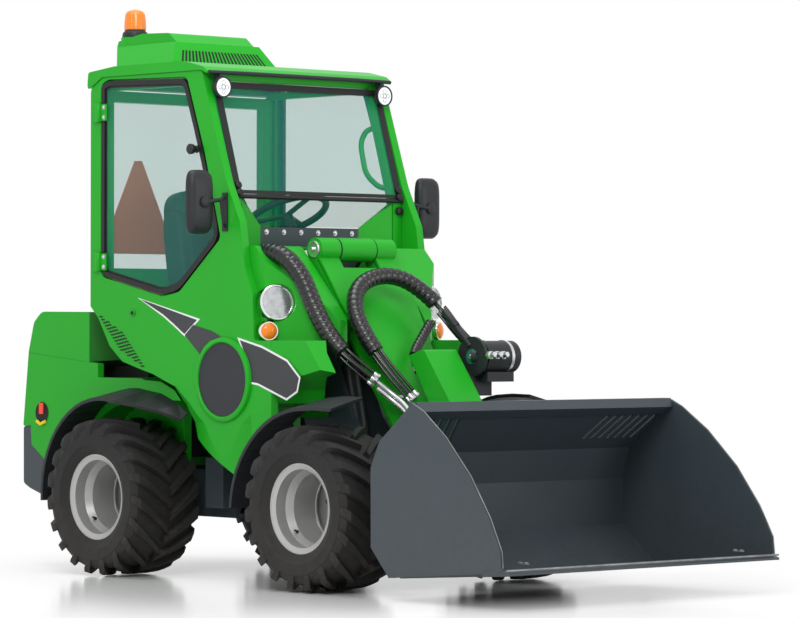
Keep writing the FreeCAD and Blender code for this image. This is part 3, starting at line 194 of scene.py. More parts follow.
# Bare steel: real wear on the bucket's lip and edge bolts, and a painted highlight along the side plates' front
# edges.
steel_wear_and_highlight = material("steel_wear_and_painted_highlight", (0.2, 0.205, 0.21), rough=0.42, metal=0.6, vary=0.8, scale=14, bump=0.3)
teal = material("cam_plate", (0.012, 0.14, 0.09), rough=0.4, coat=0.2)
# Near-black sheets laid over the side vent slots, the roof grille's openings and the rear recess: painted shade
# standing in for the shadow inside them.
painted_shade_black = material("black_painted_shade", (0.006, 0.006, 0.007), rough=0.6)
led = material("led_face", (0.85, 0.87, 0.9), rough=0.3, glow=0.25)
mirror_face = material("mirror_face", (0.7, 0.72, 0.74), rough=0.04, metal=1.0, vary=0.01, rough_vary=0.01)

by_slot = {
    "green_paint": green, "grey_paint": grey, "engine": engine, "black_plastic": plastic, "glass": glass,
    "rubber_seal": seal, "lamp_glass": lens, "amber": amber, "seat_vinyl": vinyl, "disc_mesh": mesh_black,
    "red_reflector": red, "zinc": zinc, "cylinder_paint": dark_barrel, "chrome_rod": rod_chrome, "tyre": rubber,
    "rim_silver": silver, "hose_rubber": hose_black,
}
for part in frame["record"]["subparts"]:
    node = frame["nodes"][part["node"]]
    node.data.materials.clear()
    node.data.materials.append(by_slot[part["material_slot"]])


# ---------------------------------------------------------------- shapes
def signed_area(points):
    """Twice the area of an outline of (a, b) points, above zero where it runs anticlockwise."""
    pairs = zip(points, points[1:] + points[:1])
    return sum(here[0] * there[1] - there[0] * here[1] for here, there in pairs)


def bulge(value, power):
    """A sine or cosine drawn towards a square's sides; a smaller power makes squarer corners."""
    return (abs(value) ** power) * (1 if value >= 0 else -1)


def frame_of(direction):
    """Two unit vectors square to a direction, and the direction as a unit vector."""
    way = Vector(direction).normalized()
    other = Vector((0, 0, 1)) if abs(way.z) < 0.9 else Vector((1, 0, 0))
    first = way.cross(other).normalized()
    return first, way.cross(first).normalized(), way


class Shape:
    """Collects corners and faces in millimetres, then makes one piece of them."""

    def __init__(self):
        self.corners = []
        self.faces = []

    def add(self, corners, faces):
        """Adds a mesh."""
        base = len(self.corners)
        self.corners += [Vector(c) for c in corners]
        self.faces += [tuple(base + i for i in face) for face in faces]
        return self

    def rings(self, rings, closed=False, caps=True):
        """Skin over rings of equally many points; closed joins the last ring to the first."""
        count = len(rings[0])
        corners = [c for ring in rings for c in ring]
        faces = []
        for i in range(len(rings) if closed else len(rings) - 1):
            here, there = i * count, (i + 1) % len(rings) * count
            for j in range(count):
                k = (j + 1) % count
                faces.append((here + j, here + k, there + k, there + j))
        if caps and not closed:
            faces.append(tuple(reversed(range(count))))
            faces.append(tuple(range(len(corners) - count, len(corners))))
        return self.add(corners, faces)

    def turned(self, profile, origin, direction, count=32, closed=False, caps=True):
        """Profile of (distance along, radius) turned about a line."""
        a, b, way = frame_of(direction)
        base = Vector(origin)
        angles = [2 * pi * i / count for i in range(count)]
        rings = [[base + way * along + (a * cos(angle) + b * sin(angle)) * max(radius, 0.05) for angle in angles]
                 for along, radius in profile]
        return self.rings(rings, closed, caps)

    def bar(self, start, end, radius, count=16):
        """Round bar with broken edges."""
        way = Vector(end) - Vector(start)
        soft = min(radius * 0.2, 1.5)
        return self.turned([(0, radius - soft), (soft, radius), (way.length - soft, radius),
                            (way.length, radius - soft)], start, way, count)

    def bolt(self, place, direction, radius, height):
        """Hexagon head on a washer."""
        self.turned([(0, radius * 1.5), (1.5, radius * 1.5)], place, direction, 20)
        start = Vector(place) + Vector(direction).normalized() * 1.4
        return self.turned([(0, radius), (height - 1.5, radius), (height, radius * 0.82)], start, direction, 6)

    def prism(self, points, axis, low, high):
        """Outline in the plane square to an axis, drawn out along it."""
        places = {"x": lambda a, b, c: (c, a, b), "y": lambda a, b, c: (a, c, b), "z": lambda a, b, c: (a, b, c)}
        put = places[axis]
        return self.rings([[put(a, b, low) for a, b in points], [put(a, b, high) for a, b in points]])

    def block(self, x0, x1, y0, y1, z0, z1):
        return self.prism([(x0, y0), (x1, y0), (x1, y1), (x0, y1)], "z", z0, z1)

    def tube(self, path, radius, count=12):
        """Round tube along points; radius is a number or a rule of (step, angle)."""
        rings = []
        a = b = None
        for i, point in enumerate(path):
            before, after = path[max(i - 1, 0)], path[min(i + 1, len(path) - 1)]
            way = (Vector(after) - Vector(before)).normalized()
            if a is None:
                a, b, _ = frame_of(way)
            else:
                a = (a - way * a.dot(way)).normalized()
                b = way.cross(a)
            ring = []
            for j in range(count):
                angle = 2 * pi * j / count
                reach = radius(i, angle) if callable(radius) else radius
                ring.append(Vector(point) + (a * cos(angle) + b * sin(angle)) * reach)
            rings.append(ring)
        return self.rings(rings)

    def mirrored(self):
        """Adds the same shape on the machine's other side."""
        return self.add([(c.x, -c.y, c.z) for c in self.corners], [tuple(reversed(f)) for f in self.faces])

    def make(self, name, body, surface, smooth=35, bevel=0.0, replaces=(), slot=None):
        """One piece; smooth is the angle in degrees above which an edge stays sharp."""
        mesh = bpy.data.meshes.new(name)
        mesh.from_pydata([tuple(c / 1000) for c in self.corners], [], self.faces)
        mesh.validate()
        mesh.update()
        obj = bpy.data.objects.new(name, mesh)
        bpy.context.scene.collection.objects.link(obj)
        mesh.materials.append(surface)
        if smooth:
            mesh.shade_smooth()
            mesh.set_sharp_from_angle(angle=radians(smooth))
        if bevel:
            edge = obj.modifiers.new("soft_edges", "BEVEL")
            edge.width = bevel / 1000
            edge.segments = 2
            edge.limit_method = "ANGLE"
            edge.angle_limit = radians(40)
        if body:
            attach(obj, body)
        if replaces:
            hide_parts(*replaces)
        return obj


# ---------------------------------------------------------------- wheels
LUGS = 19                    # on each half of the tread
WHEEL_NUTS = 5
carcass = [  # across the tyre, radius
    (-127, 170), (-137, 171), (-143, 178), (-150, 190), (-155, 205), (-158.5, 208), (-159.5, 228),
    (-159.5, 250), (-157, 252), (-154, 268), (-145, 280), (-120, 287), (-60, 290), (0, 291)]
carcass = carcass + [(-y, r) for y, r in reversed(carcass[:-1])]
inside = [(127, 160), (100, 158), (112, 205), (120, 250), (100, 264), (-100, 264), (-120, 250), (-112, 205),
          (-100, 158), (-127, 160)]
lug_stations = [  # side, top radius, foot side, foot radius, how far it trails, half width
    (2, 313.5, 2, 286, 0.0, 13), (40, 314, 40, 286, 0.10, 14), (82, 313.5, 82, 284, 0.205, 15),
    (122, 311.5, 120, 278, 0.30, 17), (149, 305, 140, 268, 0.36, 19), (160, 288, 148, 250, 0.40, 20),
    (160.5, 258, 152, 240, 0.42, 15),
]


def make_tyre(name, axle_x, side, body):
    """Tyre with two rows of lugs that trail from the middle to the shoulders."""
    centre = Vector((axle_x, side * WHEEL_Y, AXLE_Z))
    shape = Shape()
    shape.turned(carcass + inside, centre, (0, 1, 0), 96, closed=True)
    pitch = 2 * pi / LUGS
    for hand in (-1, 1):
        for step in range(LUGS):
            start = pitch * (step + (0.5 if hand > 0 else 0))
            rings = []
            for y, top, foot_y, foot, trail, half in lug_stations:
                angle = start - trail
                ring = []
                for side_y, radius, offset in ((foot_y, foot, -half - 5), (y, top, -half + 2),
                                               (y, top, half - 2), (foot_y, foot, half + 5)):
                    turn = angle + offset / 300
                    ring.append(centre + Vector((radius * sin(turn), hand * side_y, radius * cos(turn))))
                rings.append(ring if hand > 0 else list(reversed(ring)))
            shape.rings(rings)
    return shape.make(name, body, rubber, smooth=32, replaces=(name.replace("_tread", ""),), slot="tyre")


for end, axle_x in (("front", FRONT_AXLE), ("rear", REAR_AXLE)):
    for hand, side in (("right", -1), ("left", 1)):
        body = "wheel_" + end + "_" + hand
        make_tyre("tyre_" + end + "_" + hand + "_tread", axle_x, side, body)
        centre = Vector((axle_x, side * WHEEL_Y, AXLE_Z))
        out = Vector((0, side, 0))
        lip = Shape()
        lip.turned([(133.5, 164), (136, 165), (137, 168), (136, 171), (133, 172)], centre, out, 64, closed=True)
        lip.turned([(-70, 138), (-66, 132), (-60, 131), (-57, 136)], centre, out, 64, closed=True)
        lip.make("rim_lip_" + end + "_" + hand, body, silver)
        nuts = Shape()
        for i in range(WHEEL_NUTS):
            angle = 2 * pi * i / WHEEL_NUTS + 0.4
            spot = centre + Vector((78 * cos(angle), side * -82, 78 * sin(angle)))
            nuts.bolt(spot, out, 10, 14)
        nuts.make("wheel_nuts_" + end + "_" + hand, body, engine, smooth=20)
        valve = Shape()
        foot = centre + Vector((-98, side * 58, -92))
        valve.bar(foot, foot + Vector((8, side * 24, 6)), 4.5, 10)
        valve.turned([(0, 8), (3, 7), (8, 5)], foot - Vector((6, 0, 5)), (0.7, side * 0.6, 0.6), 12)
        valve.make("valve_" + end + "_" + hand, body, seal)


# ---------------------------------------------------------------- lamps
def on_side(place, side):
    """A lamp's centre on the right (-1) or left (1) side."""
    return Vector((place[0], side * place[1], place[2]))


rings, bowls, lenses, bulbs = Shape(), Shape(), Shape(), Shape()
cans, faces, cups = Shape(), Shape(), Shape()
LED_CIRCLE = 17
for side in (-1, 1):
    face = Vector((1, side * 0.35, 0.12)).normalized()
    spot, radius = on_side(HEADLIGHT, side) + face * 14, HEADLIGHT_RADIUS
    rings.turned([(0, radius), (10, radius), (13, radius - 3), (13, radius - 7), (8, radius - 9), (2, radius - 9)],
                 spot, face, 48, closed=True)
    bowls.turned([(8, radius - 8.5), (2, radius * 0.74), (-3, radius * 0.42), (-6.8, 9)], spot, face, 20)
    lenses.turned([(9, radius - 9), (13, radius * 0.66), (15.5, radius * 0.3), (16, 0)],
                  spot, face, 48, caps=False)
    bulbs.turned([(-6, 9), (2, 9), (5, 6), (7, 0)], spot, face, 16)
    spot = on_side(WORK_LIGHT, side)
    cans.turned([(-26, 30), (-24, 38), (-8, 42), (0.4, 42), (0.4, 36), (-4, 35.5)], spot, (1, 0, 0), 36)
    faces.turned([(-5, 36), (-2, 36), (-1.4, 34)], spot, (1, 0, 0), 36)
    for around in [Vector((0, cos(pi * i / 2), sin(pi * i / 2))) * LED_CIRCLE for i in range(4)] + [Vector()]:
        cups.turned([(-1.4, 9), (-0.4, 9), (-0.4, 7.6), (-1.4, 7.6)], spot + around, (1, 0, 0), 16, closed=True)
rings.make("headlight_rings", "front_frame", chrome, replaces=("lamps",))
bowls.make("headlight_bowls", "front_frame", facets, smooth=8)
lenses.make("headlight_lenses", "front_frame", lens, slot="lamp_glass")
bulbs.make("headlight_bulbs", "front_frame", chrome)
cans.make("work_light_cans", "front_frame", plastic)
faces.make("work_light_faces", "front_frame", led)
cups.make("work_light_cups", "front_frame", decal_grey, smooth=20)
stems = Shape()
for side in (-1, 1):
    low, high = sorted((side * 413, side * 437))
    stems.prism([(fx(-730), 1961), (fx(-698), 1961), (fx(-698), 1974), (fx(-716), 1974),
                 (fx(-716), 1984.5), (fx(-730), 1990)], "y", low, high)
    stems.bolt((fx(-706), side * WORK_LIGHT[1], 1974), (0, 0, 1), 7, 8)
stems.make("work_light_stems", "front_frame", plastic, bevel=1.5)
rings, domes = Shape(), Shape()
for side in (-1, 1):
    face = Vector((1, side * 0.45, 0)).normalized()
    spot = on_side(INDICATOR, side) + face * 15
    rings.turned([(-10, 38), (4, 38), (8, 36), (8, 32), (0, 31)], spot, face, 40, closed=True)
    domes.turned([(-18, 30), (6, 32), (12, 27), (17, 18), (19.5, 0)], spot, face, 40)
rings.make("indicator_rings", "front_frame", chrome)
domes.make("indicator_domes", "front_frame", amber, replaces=("indicators",), slot="amber")

base = Shape().turned([(0, 53), (6, 54), (20, 51), (26, 44), (30, 44)], BEACON, (0, 0, 1), 40)
base.make("beacon_base", "front_frame", plastic)
RIBS, RIB_DEPTH = 24, 1.2
ribbed = Shape()
levels = []
for height, radius in ((30, 42), (34, 46), (70, 44.5), (96, 41), (106, 35), (113, 22), (116.5, 4)):
    level = []
    for j in range(2 * RIBS):
        reach, angle = radius - (RIB_DEPTH if j % 2 else 0), pi * j / RIBS
        level.append(Vector((BEACON[0] + reach * cos(angle), BEACON[1] + reach * sin(angle), BEACON[2] + height)))
    levels.append(level)
ribbed.rings(levels)
ribbed.make("beacon_dome", "front_frame", amber, smooth=20, replaces=("beacon",), slot="amber")

# ---------------------------------------------------------------- side panel dressing
disc_x, disc_z, disc_radius = DISC
profile = [(out, disc_radius + wider) for out, wider in ((0, 1), (13, 1), (17, 5), (17, 12), (12, 20), (0, 24))]
ring = Shape().turned(profile, (disc_x, -SIDE - 0.2, disc_z), (0, -1, 0), 72, closed=True)
ring.mirrored().make("disc_rings", "front_frame", green)


def flat(points, depth, name, surface):
    """Thin plate of (x, z) points on both body sides."""
    shape = Shape().prism(points, "y", -SIDE - depth, -SIDE - 0.1)
    return shape.mirrored().make(name, "front_frame", surface, smooth=0)


def grown(points, width):
    """Outline moved outwards by a width, corner by corner."""
    count = len(points)
    turn = 1 if signed_area(points) > 0 else -1
    moved = []
    for i in range(count):
        (ax, az), (bx, bz), (cx, cz) = points[i - 1], points[i], points[(i + 1) % count]
        ux, uz = bx - ax, bz - az
        wx, wz = cx - bx, cz - bz
        ul, wl = hypot(ux, uz), hypot(wx, wz)
        nx = turn * (uz / ul + wz / wl)
        nz = -turn * (ux / ul + wx / wl)
        size = hypot(nx, nz)
        reach = min(width * 2 / size, width * 2.4)
        moved.append((bx + nx / size * reach, bz + nz / size * reach))
    return moved


tail = [(-745, 1103), (-389, 1020), (-467, 965), (-530, 1003), (-600, 1042)]
middle = [(-412, 1001), (-297, 977), (-211, 943), (-258, 950), (-310, 940), (-350, 915), (-372, 886), (-464, 961)]
head = [(-127, 942), (4, 913), (150, 862), (222, 800), (208, 751), (150, 722), (-17, 777), (-62, 782), (-64, 830),
        (-88, 880)]
DECAL_DEPTH, LINE_DEPTH, LINE_WIDTH = 1.6, 1.0, 8
for index, outline in enumerate((tail, middle, head)):
    flat(outline, DECAL_DEPTH, "decal_dark_%d" % index, decal_grey)
for index, outline in enumerate((tail, head)):
    flat(grown(outline, LINE_WIDTH), LINE_DEPTH, "decal_white_%d" % index, white)

# The side slots are thin near-black plates on the panel: painted shade of the vent openings.
slots = Shape()
SLOT_ROWS, SLOT_COLUMNS = 12, 4
for row in range(SLOT_ROWS):
    for column in range(SLOT_COLUMNS):
        x = -1012 + column * 44 + row * 12.5
        z = 1030 - column * 21 - row * 12.2
        slots.block(x, x + 22, -SIDE - 0.9, -SIDE - 0.1, z, z + 6)
slots.mirrored().make("side_slots", "front_frame", painted_shade_black, smooth=0)
LOCK_X, LOCK_Z = -793, 1048
lock = Shape().turned([(0, 14), (4, 14), (5, 12)], (LOCK_X, -SIDE - 0.1, LOCK_Z), (0, -1, 0), 28)
lock.mirrored().make("side_locks", "front_frame", green)
plug = Shape().turned([(0, 8), (3.5, 8), (4, 6)], (LOCK_X, -SIDE - 5, LOCK_Z), (0, -1, 0), 20)
plug.mirrored().make("side_lock_cores", "front_frame", seal)

# ---------------------------------------------------------------- hoses
def nurbs_points(route):
    """Points of a smooth curve drawn by the route's control points."""
    curve = bpy.data.curves.new("route", "CURVE")
    curve.dimensions = "3D"
    line = curve.splines.new("NURBS")
    line.points.add(len(route) - 1)
    for i, point in enumerate(route):
        line.points[i].co = (*(Vector(point) / 1000), 1)
    line.order_u = 3
    line.use_endpoint_u = True
    line.resolution_u = 16
    holder = bpy.data.objects.new("route", curve)
    mesh = bpy.data.meshes.new_from_object(holder)
    points = [v.co * 1000 for v in mesh.vertices]
    bpy.data.meshes.remove(mesh)
    bpy.data.objects.remove(holder)
    return points


def resample(points, step):
    """The same line with even steps."""
    places = [points[0].copy()]
    left = step
    for i in range(1, len(points)):
        start, end = points[i - 1], points[i]
        span = (end - start).length
        done = 0.0
        while span - done >= left:
            done += left
            places.append(start.lerp(end, done / span))
            left = step
        left -= span - done
    return places


CORD_STEP = 6.0              # between the points of a cord's path
STRAND_GAP = 10.0            # from the core's surface to the middle of each outer hose
STRAND_RADIUS = 6.2
RIDGE_DEPTH = 5.0            # of the spiral guard
RIDGE_STEPS = 6              # points along each turn of the spiral


def around(way, angle, reach):
    """A step sideways from a line."""
    first, second, _ = frame_of(way)
    return (first * cos(angle) + second * sin(angle)) * reach


def hose(name, route, core, bodies, node, wrap, pitch, cover, strands):
    """Cord of the core's width, with a spiral guard over part of it and fittings at both ends."""
    line = resample(nurbs_points(route), CORD_STEP)
    joined = len(bodies) > 1
    rides = None if joined else bodies[0]
    outer = strands - 1
    cord_piece = Shape().tube(line, core, 14).make(name, rides, hose_black, slot="hose_rubber")
    first, last = int(len(line) * cover[0]), int(len(line) * cover[1])
    fine = resample(line[first:last], pitch / RIDGE_STEPS)

    def ridge(i, angle):
        turn = (i / RIDGE_STEPS + angle / (2 * pi)) % 1
        return wrap - RIDGE_DEPTH * min(1.0, max(0.0, abs(turn - 0.5) * 6 - 2.1))
    guard = Shape().tube(fine, ridge, 18).make(name + "_guard", rides, hose_black, smooth=60)
    bent, extra = [cord_piece, guard], [guard]
    ends = ((line[0], line[3], bodies[0]), (line[-1], line[-4], bodies[-1]))
    for end, (place, toward, body) in enumerate(ends):
        way = (toward - place).normalized()
        fitting = Shape()
        for strand in range(strands):
            aside = around(way, 2 * pi * strand / outer, core + STRAND_GAP) if strand else Vector()
            width = core if not strand else 7.0
            fitting.turned([(0, width - 2), (2, width + 1.5), (26, width + 1.5), (28, width + 0.5)],
                           place + aside, way, 18)
            fitting.turned([(3, width + 3.6), (11, width + 3.6)], place + aside, way, 6)
        extra.append(fitting.make(name + "_fitting_%d" % end, body, zinc, smooth=30))
    if outer:
        tails = Shape()
        for strand in range(1, strands):
            for part in (line[:len(line) // 5], line[-len(line) // 5:]):
                path = []
                for i, point in enumerate(part):
                    way = (part[min(i + 1, len(part) - 1)] - part[max(i - 1, 0)]).normalized()
                    path.append(point + around(way, 2 * pi * strand / outer, core + STRAND_GAP))
                tails.tube(path[::3] + [path[-1]], STRAND_RADIUS, 10)
        tails = tails.make(name + "_strands", rides, hose_black)
        bent.append(tails)
        extra.append(tails)
    if joined:
        start, end = line[len(line) // 6] / 1000, line[-len(line) // 6] / 1000
        for piece in bent:
            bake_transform(piece)
    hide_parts(node)


supply_route = [(-190, -385, 1262), (-80, -391, 1288), (35, -384, 1268), (100, -356, 1185), (140, -343, 1090),
                (188, -335, 1005), (252, -316, 920), (322, -275, 845), (370, -215, 785)]
loop_route = [(472, -112, 718), (400, -165, 815), (310, -208, 944), (236, -213, 1050), (176, -150, 1146),
              (168, -37, 1196), (194, 73, 1188), (240, 150, 1131), (300, 200, 1052), (378, 215, 962), (478, 204, 908)]
branch_route = [(296, 130, 1008), (318, 75, 962), (346, 5, 905), (382, -40, 862), (425, -55, 822)]
hose("hose_supply_core", supply_route, 10.0, ("front_frame", "boom"), "hose_supply",
     wrap=36.0, pitch=26.0, cover=(0.02, 0.8), strands=5)
hose("hose_loop_core", loop_route, 9.0, ("boom", "telescope"), "hose_loop",
     wrap=33.0, pitch=26.0, cover=(0.2, 0.78), strands=5)
hose("hose_branch_core", branch_route, 11.0, ("telescope",), "hose_branch",
     wrap=20.0, pitch=20.0, cover=(0.0, 0.7), strands=1)

# ---------------------------------------------------------------- seat
def cushion(name, centre, size, tilt, power=0.32):
    """Stuffed block with round edges."""
    rings = []
    turn = Matrix.Rotation(radians(tilt), 3, "Y")
    levels, steps = 16, 32
    for i in range(levels + 1):
        v = -pi / 2 + pi * (i + 0.001) / (levels + 0.002)
        wide, high = bulge(cos(v), power), bulge(sin(v), power)
        ring = []
        for j in range(steps):
            u = 2 * pi * j / steps
            spot = Vector((wide * bulge(cos(u), power) * size[0] / 2, wide * bulge(sin(u), power) * size[1] / 2,
                           high * size[2] / 2))
            ring.append(Vector(centre) + turn @ spot)
        rings.append(ring)
    piece = Shape().rings(rings).make(name, "front_frame", vinyl, smooth=60, slot="seat_vinyl")
    return piece


base_pad = cushion("seat_base", (-700, 0, 985), (410, 400, 130), 4)
back_pad = cushion("seat_back", (-885, 0, 1270), (120, 400, 560), -9)
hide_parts("seat")
for side in (-1, 1):
    cushion("seat_side_%d" % (side + 1), (-858, side * 185, 1240), (120, 70, 440), -9, 0.4)

# ---------------------------------------------------------------- mirrors
MIRROR_CORNER = 0.42
mirror_x, mirror_y, mirror_z = MIRROR
heads, arms, panes = Shape(), Shape(), Shape()
for side in (-1, 1):
    rows = []
    for depth, size in ((-20, 0.93), (-16, 1.0), (-6, 1.0), (10, 0.93), (18, 0.75), (20, 0.4)):
        row = []
        for j in range(40):
            u = 2 * pi * j / 40
            row.append(Vector((mirror_x + depth, side * mirror_y + bulge(cos(u), MIRROR_CORNER) * 60 * size,
                               mirror_z + bulge(sin(u), MIRROR_CORNER) * 124 * size)))
        rows.append(row)
    heads.rings(rows)
    arms.tube([(mirror_x + 8, side * 482, 1500), (mirror_x + 26, side * 520, 1486),
               (mirror_x + 24, side * 590, 1476)], 8, 14)
    arms.tube([(mirror_x + 10, side * 482, 1380), (mirror_x + 30, side * 508, 1396),
               (mirror_x + 28, side * 520, 1486)], 6, 14)
    arms.turned([(0, 22), (14, 22), (18, 16)], (mirror_x + 14, side * 594, 1476), (1, 0, 0), 24)
    arms.block(mirror_x - 6, mirror_x + 24, *sorted((side * 480.4, side * 486)), 1365, 1515)
    panes.block(mirror_x - 21.5, mirror_x - 20, side * mirror_y - 50, side * mirror_y + 50, 1372, 1582)
heads.make("mirror_heads", "front_frame", plastic, smooth=50, replaces=("mirrors",), slot="black_plastic")
arms.make("mirror_arms", "front_frame", plastic)
panes.make("mirror_faces", "front_frame", mirror_face, smooth=0, bevel=1)


# ---------------------------------------------------------------- door and left window
def rounded(points, steps=8):
    """Polygon of (a, b, radius) corners as a smooth run of points."""
    run = []
    for i, (a, b, radius) in enumerate(points):
        before, after = Vector(points[i - 1][:2]), Vector(points[(i + 1) % len(points)][:2])
        here = Vector((a, b))
        u, w = (before - here), (after - here)
        cut = min(radius, u.length * 0.45, w.length * 0.45)
        start, end = here + u.normalized() * cut, here + w.normalized() * cut
        for j in range(steps + 1):
            t = j / steps
            run.append(start * (1 - t) ** 2 + here * (2 * t * (1 - t)) + end * t ** 2)
    return run


def inset(run, width):
    """The closed run moved inwards by a width."""
    count = len(run)
    turn = 1 if signed_area(run) > 0 else -1
    moved = []
    for i in range(count):
        way = (run[(i + 1) % count] - run[i - 1]).normalized()
        moved.append(run[i] + Vector((-way.y, way.x)) * turn * width)
    return moved


door_corners = [  # from the front axle, height, corner radius
    (-1391, 1970, 44), (-1337, 1985, 60), (-849, 1973, 40), (-738, 1673, 300), (-639, 1343, 60),
    (-894, 1135, 60), (-1000, 1117, 60), (-1391, 1199, 44)]
door_run = rounded([(fx(x), z, r) for x, z, r in door_corners])


def hoop(outer, inner, near, far):
    """Flat frame between two runs of (x, z), from one y to another."""
    loops = [(outer, near), (inner, near), (inner, far), (outer, far)]
    return [[Vector((p.x, y, p.y)) for p in run] for run, y in loops]


door = Shape()
door.rings(hoop(inset(door_run, 2), inset(door_run, 22), -SIDE - 1.5, -SIDE + 14), closed=True)
door.make("door_seal", "door", seal, smooth=40, replaces=("door_frame",), slot="rubber_seal")
leaf = Shape()
loop = inset(door_run, 21)
leaf.rings([[Vector((p.x, y, p.y)) for p in loop] for y in (-SIDE + 5, -SIDE + 11)])
leaf.make("door_pane", "door", glass, smooth=30, replaces=("door_glass",), slot="glass")
rim = Shape()
rim.rings(hoop(inset(door_run, 20), inset(door_run, 30), -SIDE + 4.4, -SIDE + 5), closed=True)
rim.make("door_frit", "door", seal, smooth=0)
left = Shape()
left.rings(hoop(inset(door_run, 2), inset(door_run, 24), SIDE - 12, SIDE + 1.5), closed=True)
left.make("left_window_seal", "front_frame", seal, smooth=40)
hinges, pins = Shape(), Shape()
for z in HINGE_HEIGHTS:
    hinges.block(fx(-1388), fx(-1350), -SIDE - 8, -SIDE - 1.6, z - 34, z + 34)
    hinges.turned([(-38, 10), (-36, 11), (36, 11), (38, 10)], (*HINGE_LINE, z), (0, 0, 1), 20)
    for dz in (-20, 20):
        pins.bolt((fx(-1364), -SIDE - 8, z + dz), (0, -1, 0), 6, 5)
hinges.make("door_hinges", "door", green, bevel=1)
pins.make("door_hinge_bolts", "door", zinc, smooth=20)
knob = Shape()
knob_place = (KNOB[0], -SIDE + 4, KNOB[1])
knob.turned([(0, 9), (20, 9), (22, 19), (36, 21), (40, 18), (41, 4)], knob_place, (0, -1, 0), 28)
knob.turned([(0, 15), (3, 15), (4, 12)], knob_place, (0, -1, 0), 28)
knob.make("door_knob", "door", plastic)
hinge_plates = Shape()
for z in HINGE_HEIGHTS:
    hinge_plates.block(fx(-1440), fx(-1402), -SIDE - 7, -SIDE - 0.2, z - 40, z + 40)
hinge_plates.make("door_hinge_plates", "front_frame", green, bevel=1)


# ---------------------------------------------------------------- windscreen, visor and roof
def on_screen(y, z, out):
    """Point on the upper pane's outer face, or just off it."""
    return Vector((SCREEN_FOOT[0] - (z - SCREEN_FOOT[1]) * SCREEN_LEAN + out, y, z))


border = Shape()
outer = [(-439, 1513), (439, 1513), (439, 1957), (-439, 1957)]
inner = [(-408, 1528), (408, 1528), (408, 1930), (-408, 1930)]
border.rings([[on_screen(y, z, out) for y, z in run] for run, out in
              ((outer, 0.2), (outer, 1.6), (inner, 1.6), (inner, 0.2))], closed=True)
border.tube([on_screen(-440, 1503, -6), on_screen(440, 1503, -6)], 9, 14)
for side in (-1, 1):
    for z in (1545, 1516):
        border.turned([(0, 15), (10, 15), (13, 11)], on_screen(side * 421, z, 1), (1, 0, 0.3), 20)
    border.turned([(0, 17), (8, 17), (11, 12)], (fx(-598), side * 425, 1462), (1, 0, 0), 20)
border.make("windscreen_border", "front_frame", seal, smooth=35)
trim = Shape()
trim.tube([(fx(-711), -478, 1990), (fx(-709), -300, 1992), (fx(-709), 300, 1992), (fx(-711), 478, 1990)], 8, 12)
trim.prism([(fx(-735), 1990.4), (fx(-716), 1983.2), (fx(-712), 1985), (fx(-733), 1993)], "y", -470, 470)
trim.make("visor_trim", "front_frame", plastic)
bolts = Shape()
for y in (-225, -135, -45, 45, 135, 225):
    bolts.bolt((fx(-660), y, 1368), (1, 0, 0), 7, 6)
bolts.make("plate_bolts", "front_frame", zinc, smooth=20)
# The grille's strips are thin near-black plates on the housing face: painted shade of its openings.
grille = Shape()
GRILLE_SLOTS, SLOT_PITCH = 24, 19.6
face_x, face_z, face_lean = HOUSING_FACE
for i in range(GRILLE_SLOTS):
    y = -226 + i * SLOT_PITCH
    rows = []
    for z, reach in ((2056, 1.0), (2116, 0.86)):
        x = face_x - (z - face_z) * face_lean
        rows.append([Vector((x + dx, y * reach + dy, z))
                     for dx, dy in ((-2, -4.4), (1.2, -4.4), (1.2, 4.4), (-2, 4.4))])
    grille.rings(rows)
grille.make("roof_grille", "front_frame", painted_shade_black, smooth=0)

# ---------------------------------------------------------------- triangle
triangle = [(-232, 1335), (-330, 1335), (-250, 1620), (-214, 1620), (-134, 1335)]
# The triangle's centre carries the orange material's glow: painted light lifting the shaded sign.
signs = Shape().prism(triangle, "x", -1079.6, -1078.2)
signs.make("triangle_centre", "front_frame", orange, smooth=0)

# ---------------------------------------------------------------- multi-connector
x, y, z = CONNECTOR
cam = Shape()
cam.turned([(0, 74), (3, 78), (10, 78), (13, 74), (13, 30), (17, 28), (17, 4)],
           (x - 20, y - 64.5, z), (0, -1, 0), 48)
cam.make("connector_cam", "telescope", teal)
ports = Shape()
for across in (-34, 0, 34):
    ports.turned([(0, 17), (14, 17), (16, 12), (34, 12), (36, 9)], (x + 60, y - 30 + across, z + 6), (1, 0, 0.1), 6)
    ports.turned([(0, 11), (20, 11), (22, 9), (60, 9)], (x - 96, y - 30 + across, z + 14), (1, 0, -0.2), 16)
ports.turned([(0, 12), (4, 12), (6, 9)], (x - 20, y - 82, z), (0, -1, 0), 6)
ports.make("connector_ports", "telescope", zinc, smooth=25)
grip = Shape()
grip.turned([(0, 14), (6, 16), (90, 15), (96, 11)], (fx(60), y - 71, 996), (fx(8) - fx(60), 0, 43), 24)
grip.make("connector_grip", "telescope", plastic)

# ---------------------------------------------------------------- bucket's edge wear and painted edge highlights
BUCKET_FLARE = 0.0734        # side plates spread this much per millimetre forward
edge = Shape()
edge.tube([(fx(1203.5), -706, 145), (fx(1203.5), 706, 145)], 4, 10)
# The tubes along the side plates' front edges are light bare steel: a painted highlight standing in for light caught
# on those edges.
rim_line = [(676, 707), (740, 679), (866, 591), (1006, 457), (1115, 313), (1178, 198), (1184, 140)]
for side in (-1, 1):
    path = []
    for along, height in rim_line:
        half = 647 + (along - 445) * BUCKET_FLARE
        path.append((fx(along) + 0.5, side * (half + 5), height + 14))
    edge.tube(path, 2.2, 8)
edge.make("bucket_wear_and_highlight_edges", "bucket", steel_wear_and_highlight)
nuts = Shape()
for side in (-1, 1):
    for along in (1120, 1150):
        nuts.bolt((fx(along), side * 560, 160), (0, 0, 1), 9, 6)
nuts.make("bucket_edge_bolts", "bucket", steel_wear_and_highlight, smooth=20)
